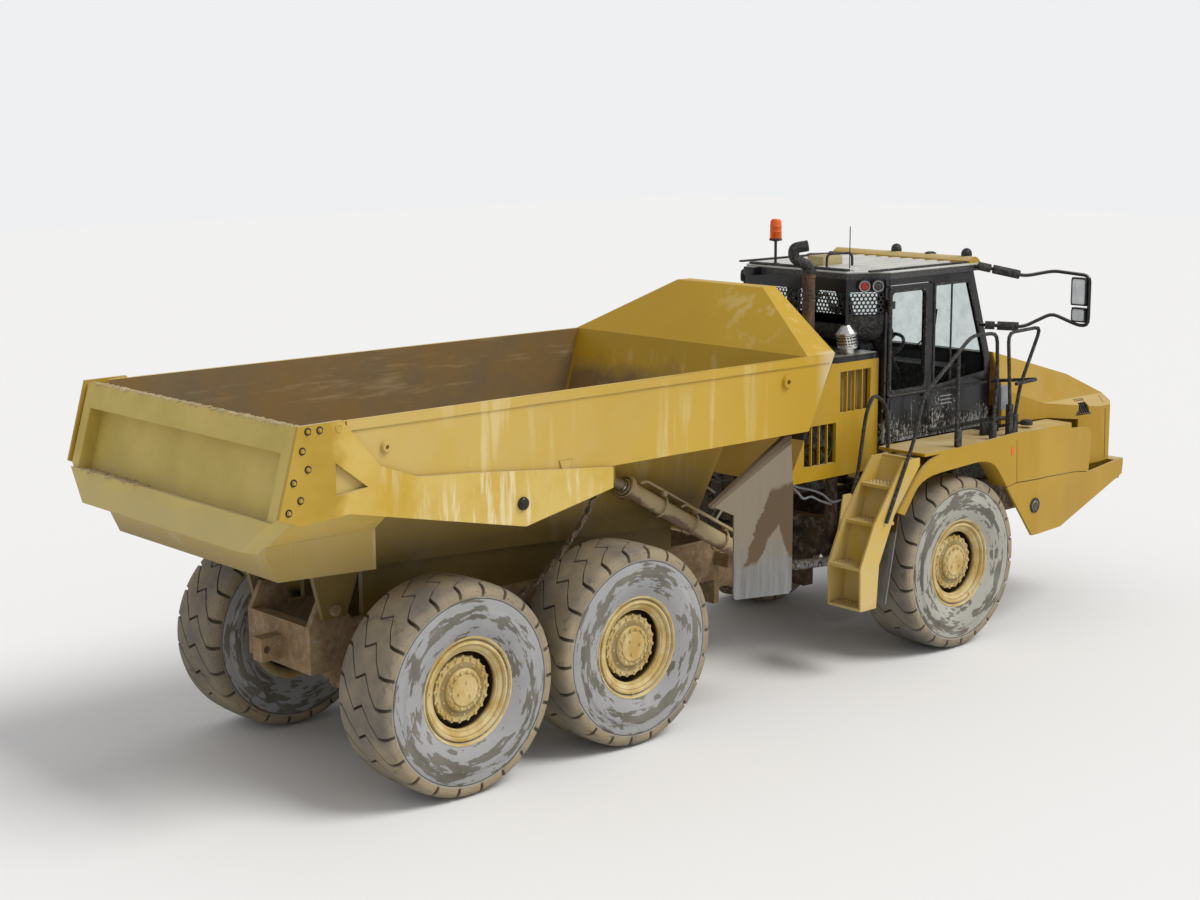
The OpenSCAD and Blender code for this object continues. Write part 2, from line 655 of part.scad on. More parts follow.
module mirrors() color(black) from_front() both_sides() {
  bent_tube(curved([[820, -cab_half - 10 - seat_gap, 3440], [820, -940, 3440], [1130, -1200, 3350],
    [1300, -1400, 3400], [1356, -1760, 3373], [1356, -1760, 2916], [1356, -1660, 2900], [1290, -1400, 3000],
    [1130, -1200, 2870], [935, -940, 2880], [935, -cab_half - seat_gap, 2880]], 60), rail_r);
  block([1330, -1748, 3090], [1385, -1580, 3350]);
  block([1330, -1748, 2935], [1385, -1590, 3070]);
}

// Half width of the hood over its height, and its plan that widens towards the nose
function hood_cross(t) = mirrored([[hood_half + 120 - t, 1200], [hood_half + 100 - t, 1950],
  [hood_half - t, hood_front_z - t / 2], [hood_half - 200 - t, 2610], [hood_half - 230 - t, 2700]]);
function hood_plan(t) = let (rear = 1130 - (t > 0 ? eps : 0), nose = hood_nose - t)
  [[rear, t - hood_half + 70], [nose - 90, t - hood_half - 120], [nose - 10, t - hood_half - 60], [nose, t - hood_half + 100],
   [nose, hood_half - 100 - t], [nose - 10, hood_half + 60 - t], [nose - 90, hood_half + 120 - t], [rear, hood_half - 70 - t]];
hood_low = 1415;
module hood() color(paint) from_front() {
  hood_shell();
  // Lugs that turn on the hinge pins
  both_sides() difference() {
    union() {
      y_bar(hood_pin_x, hood_pin_z, -lug_y - 29, -lug_y + 29, 22);
      block([hood_pin_x - 10, -lug_y - 29, hood_pin_z], [hood_nose - 10, -lug_y + 29, hood_pin_z + 100]);
    }
    y_bar(hood_pin_x, hood_pin_z, -lug_y - 40, -lug_y + 40, hood_pin_r + run_gap);
  }
}
module hood_shell() difference() {
  intersection() {
    side_plate([[1130, deck_z + 10], [1760, deck_z + 10], [2215, deck_z - 50], [2180, hood_low - 45],
      [hood_nose - 210, hood_low - 30], [hood_nose, hood_low], [hood_nose, 1940], [hood_nose - 70, hood_front_z],
      [2200, 2290], [1130, hood_rear_z]], -fender_half, fender_half);
    cross_plate(hood_cross(0), 1000, 3000);
    linear_extrude(3000) polygon(hood_plan(0));
  }
  intersection() {
    side_plate([[1130 - eps, 1200], [hood_nose, 1200], [hood_nose - panel_t, 1930], [hood_nose - 85, hood_front_z - panel_t],
      [2190, 2290 - panel_t], [1130 - eps, hood_rear_z - panel_t]], -fender_half, fender_half);
    cross_plate(hood_cross(panel_t), 1000, 3000);
    linear_extrude(3000) polygon(hood_plan(panel_t));
  }
  // Side vents
  both_sides() side_plate([[2210, 1905], [2370, 1905], [2345, 2010], [2215, 2010]], -fender_half, 400 - fender_half);
  // Notches round the hinge lugs
  both_sides() block([hood_pin_x, -lug_y - 60, 1200], [hood_nose + eps, -lug_y + 60, hood_pin_z + 70]);
}

module lamps() color("white") from_front() both_sides()
  y_bar(1066, 1195, -fender_half - 12, -fender_half - seat_gap, 45);

// Door hinges: knuckles on the door turn on pins that the cab's lugs hold
hinge_x = cab_rear + 18;
hinge_y = -cab_half - 22;
hinge_pin_r = 8;
hinge_r = 16;
hinge_h = 90;
hinge_z = [2120, 3120];
module hinge_lugs() for (z = hinge_z) {
  for (low = [z - 12 - seat_gap, z + hinge_h + seat_gap])
    block([cab_rear, hinge_y - hinge_r, low], [hinge_x + 14, eps - cab_half, low + 12]);
  translate([hinge_x, hinge_y, z - 12]) cylinder(r = hinge_pin_r, h = hinge_h + 24);
}
module hinge_knuckles() for (z = hinge_z) difference() {
  union() {
    translate([hinge_x, hinge_y, z]) cylinder(r = hinge_r, h = hinge_h);
    block([hinge_x, hinge_y - 12, z], [hinge_x + 60, hinge_y + 13, z + hinge_h]);
  }
  translate([hinge_x, hinge_y, z - eps]) cylinder(r = hinge_pin_r + run_gap, h = hinge_h + 2 * eps);
}

module door(side) color(black) from_front() mirror([0, side, 0]) {
  hinge_knuckles();
  x0 = cab_rear + 30 + panel_gap;
  x1 = door_front - panel_gap;
  difference() {
    block([x0, -cab_half - door_t + 30, deck_z + 40 + panel_gap], [x1, -cab_half + 30, cab_top - 60 - panel_gap]);
    block([x0 + 60, -cab_half - door_t, 2350], [x1 - 60, -cab_half + 40, cab_top - 130]);
  }
  block([x0 + 59, -cab_half + 5, 2349], [x1 - 59, -cab_half + 5 + pane_t, cab_top - 129]);
}

// Steering

steer_base = [860, 570];
steer_eye = [-60, 290];
pin_z = hub_z;
hitch_mid_z = hub_z + 20;
lug_gap = 8;
eye_h = 80;
steer_small_r = 25;
module hitch() color(mud) translate([hitch_x, 0, 0]) {
  translate([0, 0, hitch_mid_z - hitch_h / 2]) cylinder(r = 140, h = hitch_h);
  translate([0, 0, hitch_mid_z - hitch_h / 2 - 75]) cylinder(r = steer_pin_r, h = hitch_h + 150);
  x_bar(-200 - roll_tube_len, 0, 0, hitch_mid_z, roll_tube_r - roll_tube_wall - run_gap);
  both_sides() for (z = [pin_z + eye_h / 2 + lug_gap, pin_z - eye_h / 2 - lug_gap - 30])
    translate([0, 0, z]) linear_extrude(30) polygon([[60, -100], [-120, -100], [-120, -320], [-60, -340], [0, -320]]);
}

module steer_line(side) translate([hitch_x + steer_base[0], (side * 2 - 1) * steer_base[1], pin_z]) {
  d = [steer_eye[0] - steer_base[0], (side * 2 - 1) * (steer_eye[1] - steer_base[1])];
  rotate([0, 0, atan2(d[1], d[0])]) children();
}
steer_rest = norm([steer_eye[0] - steer_base[0], steer_eye[1] - steer_base[1]]);
steer_rod_r = 28;
module steer_barrel(side) color(black) steer_line(side) difference() {
  union() {
    translate([0, 0, -eye_h / 2]) cylinder(r = 60, h = eye_h);
    x_bar(0, 560, 0, 0, 45);
  }
  translate([0, 0, -eye_h]) cylinder(r = steer_small_r + run_gap, h = 2 * eye_h);
  x_bar(90, 560 + eps, 0, 0, steer_rod_r + run_gap);
}
module steer_rod(side) color(steel) steer_line(side) {
  x_bar(320, steer_rest, 0, 0, steer_rod_r);
  translate([steer_rest, 0, -eye_h / 2]) cylinder(r = 50, h = eye_h);
}

// Rear frame, measured from the middle axle

hoist_pin_r = 35;
// Half width of the hoist's upper eye and thickness of the fork plates beside it
eye_half = 50;
fork_t = 20;
rear_frame_end = -2380;
tube_x0 = hitch_to_mid - 200 - roll_tube_len;
chain_base = [-1500, 620, 1220];
beam_x = -axle_gap / 2;
module rear_frame() color(mud) from_mid() both_sides() {
  rail(rear_frame_end, tube_x0 - seat_gap, [-axle_gap, 0]);
  // Dump hinge plate and pin
  side_plate([[-2380, rail_top - eps], [-2000, rail_top - eps], [-2120, dump_z + 80], [-2280, dump_z + 80]],
    -frame_half, rail_t - frame_half);
  y_bar(-dump_back, dump_z, -frame_half - 90, -frame_half + 10, dump_pin_r);
  // Bracket of the tailgate chain
  block([chain_base[0] - 50, -chain_base[1] + 30, chain_base[2] - 50], [chain_base[0] + 50, rail_t - frame_half, chain_base[2] - 15]);
  y_bar(chain_base[0], chain_base[2], -chain_base[1] - 30, -chain_base[1] + 30 + eps, 12);
  block([chain_base[0] - 50, -chain_base[1] + 30, chain_base[2] - 50], [chain_base[0] + 50, -chain_base[1] + 50, chain_base[2] + 20]);
  // Walking beam pivot
  y_bar(beam_x, rail_low + 40, -640, -frame_half + 10, 60);
}

// Crossmembers between the rails, the roll tube and the recovery eye
eye_x = rear_frame_end - 140;
eye_z = rail_low + 150;
module rear_crossmembers() color(mud) from_mid() {
  half = frame_half - rail_t - seat_gap;
  for (x = [-1000, 900]) block([x, -half, rail_low], [x + 100, half, rail_top]);
  difference() {
    union() {
      block([tube_x0, -frame_half, hitch_mid_z - roll_tube_r], [tube_x0 + 60, frame_half, rail_top]);
      x_bar(tube_x0, tube_x0 + roll_tube_len, 0, hitch_mid_z, roll_tube_r);
    }
    x_bar(tube_x0 - eps, tube_x0 + roll_tube_len + eps, 0, hitch_mid_z, roll_tube_r - roll_tube_wall);
  }
  both_sides() {
    // Arm and pin of the hoist cylinder
    block([tube_x0, -hoist_y + hoist_r + panel_gap, hoist_low_z - 60],
      [hoist_low_x + 60, -frame_half + rail_t, hoist_low_z + 60]);
    y_bar(hoist_low_x, hoist_low_z, -hoist_y - 65, -hoist_y + hoist_r + 12, hoist_pin_r);
  }
  block([rear_frame_end, -half, rail_low], [rear_frame_end + 100, half, rail_top]);
  difference() {
    block([eye_x - 50, -60, eye_z - 90], [rear_frame_end + eps, 60, eye_z + 90]);
    y_bar(eye_x, eye_z, -100, 100, tow_pin_r);
  }
}

module walking_beams() color(mud) from_mid() both_sides() difference() {
  union() {
    side_plate([[beam_x - 760, 1010], [beam_x - 760, 1110], [beam_x - 300, 1000], [beam_x + 300, 1000],
      [beam_x + 760, 1110], [beam_x + 760, 1010], [beam_x + 150, 780], [beam_x - 150, 780]], -640, -540);
    for (x = [0, -axle_gap]) block([x - 80, -640, hub_z + axle_r + seat_gap], [x + 80, -540, 1090]);
  }
  y_bar(beam_x, rail_low + 40, -700, -500, 60 + run_gap);
}

module rear_axles() color(mud) {
  axle(mid_x);
  axle(rear_x);
  x_bar(rear_x + diff_r + 119, mid_x - diff_r - 119, 0, hub_z, 45);
}

// Bed, measured from the middle axle

wall_lean = 0.499;
gate_lean = 0.2925;
gate_low_z = 2057;
gate_t = 140;
gate_gap = 24;
beam_proud = 25;
gate_out_x = beam_proud * cos(atan(gate_lean)) - axle_gap - rear_reach;
gate_in_x = gate_out_x + gate_t;
knee_low = 2320;
tail_half = 1103;
arm_in = bed_half + 15;
arm_out = arm_in + arm_t;
function wall_at(z) = wall_x - wall_lean * (wall_top - z);
function gate_at(z) = gate_in_x + gate_gap + gate_lean * (z - gate_low_z);
function mirrored(points) = concat(points, [for (i = [len(points) - 1:-1:0]) [-points[i][0], points[i][1]]]);
function bed_section(t) = mirrored([[belly_half - t, belly_z - 200], [belly_half - t, belly_z],
  [trough_half - t, trough_z + t], [bed_half - t, knee_z + t], [bed_half - t, bed_top + eps],
  [wall_top_half, wall_top + eps]]);
function tail_section(t) = mirrored([[tail_half - t, belly_z], [tail_half - t, gate_low_z + t],
  [bed_half - t, knee_low + t], [bed_half - t, bed_top + eps]]);

// Where the narrow trough opens into the wide tail
tail_x = -2250;
module bed() color(paint) from_mid() {
  difference() {
    union() {
      intersection() {
        side_plate([[-2300, 1690], [-1900, 1620], [wall_at(belly_z), belly_z], [wall_x, wall_top],
          [wall_x - 158, wall_top], [wall_at(bed_top) - 340, bed_top], [-2300, bed_top]], -bed_half, bed_half);
        cross_plate(bed_section(0), -2500, 2600);
      }
      intersection() {
        side_plate([[gate_at(gate_low_z), gate_low_z - 12], [-3060, 1800], [tail_x, 1760], [tail_x, bed_top],
          [gate_at(bed_top), bed_top]], -bed_half, bed_half);
        cross_plate(tail_section(0), -3400, -2200);
      }
    }
    intersection() {
      side_plate([[-2320, 1790], [-1900, 1645], [wall_at(belly_z) - 30, belly_z + bed_wall],
        [wall_at(bed_top) - 340, bed_top], [wall_x - 158, wall_top + 10], [1000, wall_top + 10],
        [-2320, bed_top + 10]], -bed_half, bed_half);
      cross_plate(bed_section(bed_wall), -2500, 2600);
    }
    intersection() {
      side_plate([[-3400, 2095], [tail_x - bed_wall, 1796], [tail_x - bed_wall, bed_top + 10],
        [-3400, bed_top + 10]], -bed_half, bed_half);
      cross_plate(tail_section(bed_wall), -3400, -2100);
    }
  }
  both_sides() {
    // Top rail and the outer bosses
    block([-2700, -bed_half - 12, bed_top - 70], [wall_at(bed_top) - 60, eps - bed_half, bed_top]);
    // Sill that rests on the rear frame
    side_plate([[-1900, rail_top + seat_gap], [1300, rail_top + seat_gap], [1300, 1460], [-1900, 1640]],
      -frame_half, rail_t - frame_half);
    // Lug of the dump hinge
    difference() {
      side_plate([[-2300, dump_z - 60], [-2100, dump_z - 60], [-1950, 1660], [-2420, 1780]],
        -frame_half - 70, -frame_half - 20);
      y_bar(-dump_back, dump_z, -frame_half - 200, -frame_half, dump_pin_r + run_gap);
    }
    // Bracket and pin of the tailgate arm
    side_plate([[-1420, knee_z + 20], [-1000, knee_z + 20], [-1130, 2070], [-1290, 2070]],
      -bed_half, 30 - bed_half);
    y_bar(-gate_pin_back, gate_pin_z, -arm_out - 15, eps - bed_half, gate_pin_r);
    // Fork of the upper hoist eye
    for (y = [-hoist_y - eye_half - fork_t - 3, -hoist_y + eye_half + 3])
      block([hoist_up_x - 70, y, hoist_up_z - 60], [hoist_up_x + 70, y + fork_t, 2130]);
  }
}

// Height of the underside of the bed's shelves at a lateral place
function bed_under(y) = trough_z + (knee_z - trough_z) * (y - trough_half) / (bed_half - trough_half);
module mud_flaps() color("gray") from_mid() both_sides() {
  y = -bed_half + 60;
  top = bed_under(bed_half - 120) - seat_gap;
  side_plate([[1085, 1690], [860, 1790], [1760, 2200], [1790, 1796], [1782, 950], [1750, 920], [1110, 980], [1085, 1010]],
    y, y + 14);
  side_plate([[840, 1800], [870, 1770], [1760, 2180], [1780, top], [1700, top]], y + 13.5, y + 60);
}

// Tailgate with its two arms
arm_shape = [[-3103, 2925], [-2757, 2929], [-2453, 2581], [-2130, 2462], [-1665, 2425], [-758, 2333],
  [-323, 2290], [-324, 2132], [-1182, 1964], [-2718, 2286], [-3114, 2256], [-3274, 2324]];
gate_angle = atan(gate_lean);
chain_eye = [-400, 2130];
module tailgate() color(paint) from_mid() {
  translate([gate_out_x, 0, gate_low_z]) rotate([0, gate_angle, 0]) {
    s = 1 / cos(gate_angle);
    knee = (knee_low - gate_low_z) * s;
    top = (bed_top - gate_low_z) * s;
    outline = mirrored([[1095, 0], [bed_half - 10, knee], [bed_half - 10, top]]);
    cross_plate(outline, 105, gate_t * cos(gate_angle));
    intersection() {
      cross_plate(outline, -30, 106);
      union() {
        block([0, -bed_half, top - 190], [106, bed_half, top]);
        block([-beam_proud, -bed_half, 0], [106, bed_half, 240]);
        both_sides() block([0, -bed_half, 0], [106, 120 - bed_half, top]);
      }
    }
    both_sides() block([20, -arm_in - 1, knee + 20], [110, 20 - bed_half, top - 20]);
  }
  both_sides() {
    difference() {
      side_plate(arm_shape, -arm_out, -arm_in);
      side_plate([[-2820, 2650], [-2560, 2450], [-2820, 2420]], -arm_out - eps, eps - arm_in);
      y_bar(-gate_pin_back, gate_pin_z, -arm_out - eps, eps - arm_in, gate_pin_r + run_gap);
    }
    y_bar(chain_eye[0], chain_eye[1] + 20, -arm_in - eps, -bed_half - 2, 15);
  }
}

// Hoist cylinders of two stages, both as one moving set

hoist_d = [hoist_up_x - hoist_low_x, hoist_up_z - hoist_low_z];
hoist_len = norm(hoist_d);
hoist_angle = atan2(hoist_d[1], hoist_d[0]);
hoist_wall = 12;
module hoist_line() from_mid() both_sides()
  translate([hoist_low_x, -hoist_y, hoist_low_z]) rotate([0, -hoist_angle, 0]) children();
barrel_len = hoist_len - 260;
module hoist_barrels() color(mud) hoist_line() difference() {
  union() {
    y_bar(0, 0, -50, 50, 80);
    x_bar(0, barrel_len, 0, 0, hoist_r);
  }
  y_bar(0, 0, -hoist_r - eps, hoist_r + eps, hoist_pin_r + run_gap);
  x_bar(100, barrel_len + eps, 0, 0, hoist_r - hoist_wall);
}
module hoist_tubes() color(steel) hoist_line() difference() {
  x_bar(120, barrel_len + 40, 0, 0, hoist_r - hoist_wall - run_gap);
  x_bar(140, barrel_len + 40 + eps, 0, 0, hoist_r - 2 * hoist_wall);
}
module hoist_rods() color(steel) hoist_line() {
  x_bar(160, hoist_len, 0, 0, hoist_r - 2 * hoist_wall - run_gap);
  y_bar(hoist_len, 0, -eye_half, eye_half, hoist_r - 2 * hoist_wall);
}

// Route of the chain by the arc lengths of its stretches
chain_route = [[-430, 15 - bed_half, 2120], [-500, -1330, 1880], [-600, -1200, 1630], [-720, -1060, 1400],
  [-850, -930, 1260], [-1050, -770, 1180], [-1280, -700, 1170], [chain_base[0] + 45, -chain_base[1] - 20, chain_base[2]]];
link_pitch = 72;
link_wide = 34;
link_thin = 13;
// Points every quarter link along the route, each with the direction of its stretch
function along(p, step) = [for (i = [0:len(p) - 2]) let (d = p[i + 1] - p[i], n = max(1, round(norm(d) / step)))
  for (k = [0:n - 1]) [p[i] + d * k / n, unit(d)]];
module link_run(points) {
  spots = along(points, link_pitch / 4);
  n = len(spots);
  across = [for (q = spots) unit(cross(q[1], [0, 1, 0]))];
  polyhedron([for (i = [0:n - 1]) let (q = spots[i], v = across[i], u = cross(q[1], v),
      flat = floor(i / 4) % 2, end = i % 4 == 0, a = end ? link_thin : flat == 0 ? link_wide : link_thin,
      b = end ? link_thin : flat == 0 ? link_thin : link_wide)
      for (c = [[1, 1], [-1, 1], [-1, -1], [1, -1]]) q[0] + u * a * c[0] * 0.7 + v * b * c[1] * 0.7],
    concat([[3, 2, 1, 0]], [for (i = [0:n - 2], k = [0:3]) let (a = i * 4 + k, b = i * 4 + (k + 1) % 4)
      each [[a, b, b + 4], [a, b + 4, a + 4]]], [[for (k = [0:3]) (n - 1) * 4 + k]]));
}
module chains() color(black) from_mid() both_sides() {
  link_run(chain_route);
  difference() {
    union() {
      y_bar(chain_base[0], chain_base[2], -chain_base[1] - 28, -chain_base[1] + 28, 40);
      bar(chain_route[6], chain_route[7] - [5, 0, 0], 14);
    }
    y_bar(chain_base[0], chain_base[2], -chain_base[1] - 40, -chain_base[1] + 40, 12 + run_gap);
  }
}

front_frame();
front_axle();
bumper();
skirts();
engine();
fenders();
steps();
handrails();
cab_shell();
cab_roof();
roof_visor();
box_lid();
wheel_flaps();
cab_glass();
seat();
dash();
cooling_box();
rear_guard();
exhaust();
beacon();
mirrors();
hood();
lamps();
door(0);  // door_right
door(1);  // door_left
hitch();
steer_barrel(0);  // steer_barrel_right
steer_barrel(1);  // steer_barrel_left
steer_rod(0);  // steer_rod_right
steer_rod(1);  // steer_rod_left
rear_frame();
rear_crossmembers();
walking_beams();
rear_axles();
bed();
mud_flaps();
tailgate();
hoist_barrels();
hoist_tubes();
hoist_rods();
chains();
tyre(front_x, 0);  // tyre_front_right
tyre(front_x, 1);  // tyre_front_left
tyre(mid_x, 0);  // tyre_mid_right
tyre(mid_x, 1);  // tyre_mid_left
tyre(rear_x, 0);  // tyre_rear_right
tyre(rear_x, 1);  // tyre_rear_left
rim(front_x, 0);  // rim_front_right
rim(front_x, 1);  // rim_front_left
rim(mid_x, 0);  // rim_mid_right
rim(mid_x, 1);  // rim_mid_left
rim(rear_x, 0);  // rim_rear_right
rim(rear_x, 1);  // rim_rear_left
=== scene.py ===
# %% [markdown]
# # An articulated dump truck, dressed
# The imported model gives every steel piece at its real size. This lesson gives those pieces their
# finishes, and adds the tread, bolts, seams and small fittings that the frame leaves out.

# %% Load the frame
import json
import math

import bmesh
import bpy
from mathutils import Matrix, Vector
from mathutils.bvhtree import BVHTree


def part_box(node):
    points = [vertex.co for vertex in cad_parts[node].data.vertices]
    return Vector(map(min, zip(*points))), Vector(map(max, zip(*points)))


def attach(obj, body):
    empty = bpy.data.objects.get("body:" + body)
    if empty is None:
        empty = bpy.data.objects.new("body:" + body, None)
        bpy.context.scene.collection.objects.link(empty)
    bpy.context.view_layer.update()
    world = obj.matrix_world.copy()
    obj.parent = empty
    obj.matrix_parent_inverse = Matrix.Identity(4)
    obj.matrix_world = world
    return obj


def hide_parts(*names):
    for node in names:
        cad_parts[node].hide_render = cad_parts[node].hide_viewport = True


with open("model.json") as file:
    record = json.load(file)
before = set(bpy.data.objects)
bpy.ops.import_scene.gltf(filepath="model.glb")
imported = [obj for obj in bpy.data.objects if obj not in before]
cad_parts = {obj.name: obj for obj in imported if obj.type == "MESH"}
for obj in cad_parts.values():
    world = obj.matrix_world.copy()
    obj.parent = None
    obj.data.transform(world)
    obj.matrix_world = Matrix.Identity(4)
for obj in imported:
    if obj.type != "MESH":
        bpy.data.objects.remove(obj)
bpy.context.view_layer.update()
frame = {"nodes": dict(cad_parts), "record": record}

# %% [markdown]
# ## Stations
# Everything that is added sits on what carries it, so its place is worked out from the boxes of
# the CAD nodes. The three axles are the middles of the tyres.

# %% Stations
def middle(node):
    """The middle of a CAD node's box."""
    low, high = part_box(node)
    return (Vector(low) + Vector(high)) / 2


FRONT_X = middle("tyre_front_right").x
MID_X = middle("tyre_mid_right").x
REAR_X = middle("tyre_rear_right").x
HUB_Z = middle("tyre_mid_right").z
HITCH_X = middle("hitch").x
print("axles at", round(FRONT_X, 3), round(MID_X, 3), round(REAR_X, 3), "hub height", round(HUB_Z, 3))

# %% [markdown]
# ## Camera
# The photograph was taken from behind the truck's right side, a little above the bed's rail. The
# place, the turn and the lens come from a fit on the wheels and on the bed's corners.

# %% Camera
CAMERA_PLACE = Vector((-11.74, -12.069, 5.04))
CAMERA_YAW = 0.840
CAMERA_PITCH = 0.181
CAMERA_ROLL = -0.006
LENS_MM = 58.09
SENSOR_MM = 36.0

ahead = Vector((math.cos(CAMERA_PITCH) * math.cos(CAMERA_YAW),
                math.cos(CAMERA_PITCH) * math.sin(CAMERA_YAW), -math.sin(CAMERA_PITCH)))
flat_right = Vector((math.sin(CAMERA_YAW), -math.cos(CAMERA_YAW), 0.0))
flat_up = flat_right.cross(ahead)
cam_right = math.cos(CAMERA_ROLL) * flat_right + math.sin(CAMERA_ROLL) * flat_up
cam_up = -math.sin(CAMERA_ROLL) * flat_right + math.cos(CAMERA_ROLL) * flat_up

camera_data = bpy.data.cameras.new("camera")
camera_data.lens = LENS_MM
camera_data.sensor_width = SENSOR_MM
camera_data.clip_end = 200.0
camera = bpy.data.objects.new("camera", camera_data)
camera.matrix_world = Matrix((cam_right, cam_up, -ahead)).transposed().to_4x4()
camera.matrix_world.translation = CAMERA_PLACE
bpy.context.scene.collection.objects.link(camera)
bpy.context.scene.camera = camera
bpy.context.scene.view_settings.view_transform = "Standard"
print("camera looks along", [round(v, 3) for v in ahead])

# %% [markdown]
# ## Floor, world and lamps
# A cloudy sky lights the truck from all over, and a wide, soft sun stands for the brighter part of
# the sky on the truck's right side. The floor is plain and pale. Where the camera sees the sky,
# straight or through glass, it is paler than the light it gives.

# %% Stage
FLOOR_HALF = 60.0
PALE = (0.78, 0.78, 0.77, 1.0)
SKY_LIGHT = 0.62
SKY_SEEN = (0.86, 0.87, 0.88, 1.0)
SUN_STRENGTH = 2.1
SUN_FROM = Vector((0.42, -0.62, 0.95))
SUN_WIDTH = math.radians(30)

floor_mesh = bpy.data.meshes.new("floor")
floor_mesh.from_pydata([(-FLOOR_HALF, -FLOOR_HALF, 0), (FLOOR_HALF, -FLOOR_HALF, 0),
                        (FLOOR_HALF, FLOOR_HALF, 0), (-FLOOR_HALF, FLOOR_HALF, 0)], [], [(0, 1, 2, 3)])
floor = bpy.data.objects.new("floor", floor_mesh)
bpy.context.scene.collection.objects.link(floor)

floor_finish = bpy.data.materials.new("floor_finish")
floor_finish.use_nodes = True
floor_shader = floor_finish.node_tree.nodes["Principled BSDF"]
floor_shader.inputs["Base Color"].default_value = PALE
floor_shader.inputs["Roughness"].default_value = 0.9
floor_mesh.materials.append(floor_finish)

world = bpy.data.worlds.new("sky")
world.use_nodes = True
bpy.context.scene.world = world
sky = world.node_tree
background = sky.nodes["Background"]
background.inputs["Strength"].default_value = 1.0
rays = sky.nodes.new("ShaderNodeLightPath")
seen = sky.nodes.new("ShaderNodeMath")
seen.operation = "MAXIMUM"
sky.links.new(rays.outputs["Is Camera Ray"], seen.inputs[0])
sky.links.new(rays.outputs["Is Transmission Ray"], seen.inputs[1])
tone = sky.nodes.new("ShaderNodeMix")
tone.data_type = "RGBA"
tone.inputs[6].default_value = (SKY_LIGHT, SKY_LIGHT, SKY_LIGHT * 1.03, 1.0)
tone.inputs[7].default_value = SKY_SEEN
sky.links.new(seen.outputs[0], tone.inputs[0])
sky.links.new(tone.outputs[2], background.inputs["Color"])

sun_data = bpy.data.lights.new("sun", "SUN")
sun_data.energy = SUN_STRENGTH
sun_data.angle = SUN_WIDTH
sun_data.color = (1.0, 0.985, 0.96)
sun = bpy.data.objects.new("sun", sun_data)
sun.matrix_world = SUN_FROM.to_track_quat("Z", "Y").to_matrix().to_4x4()
bpy.context.scene.collection.objects.link(sun)
print("floor, sky and sun are set")

# %% [markdown]
# ## A short way to write finishes
# Each finish is a small node tree. The class below keeps the tree and gives one short call for
# each kind of node, so a finish reads as a recipe: a base colour, then dust, mud, streaks and wear
# laid over it. All patterns read Object coordinates, which stay on the piece when it moves.

# %% Finish helper
def srgb(r, g, b):
    """A colour as a picture shows it, 0 to 255, to the linear colour that a shader takes."""
    def linear(c):
        c = c / 255
        return c / 12.92 if c <= 0.04045 else ((c + 0.055) / 1.055) ** 2.4
    return (linear(r), linear(g), linear(b), 1.0)


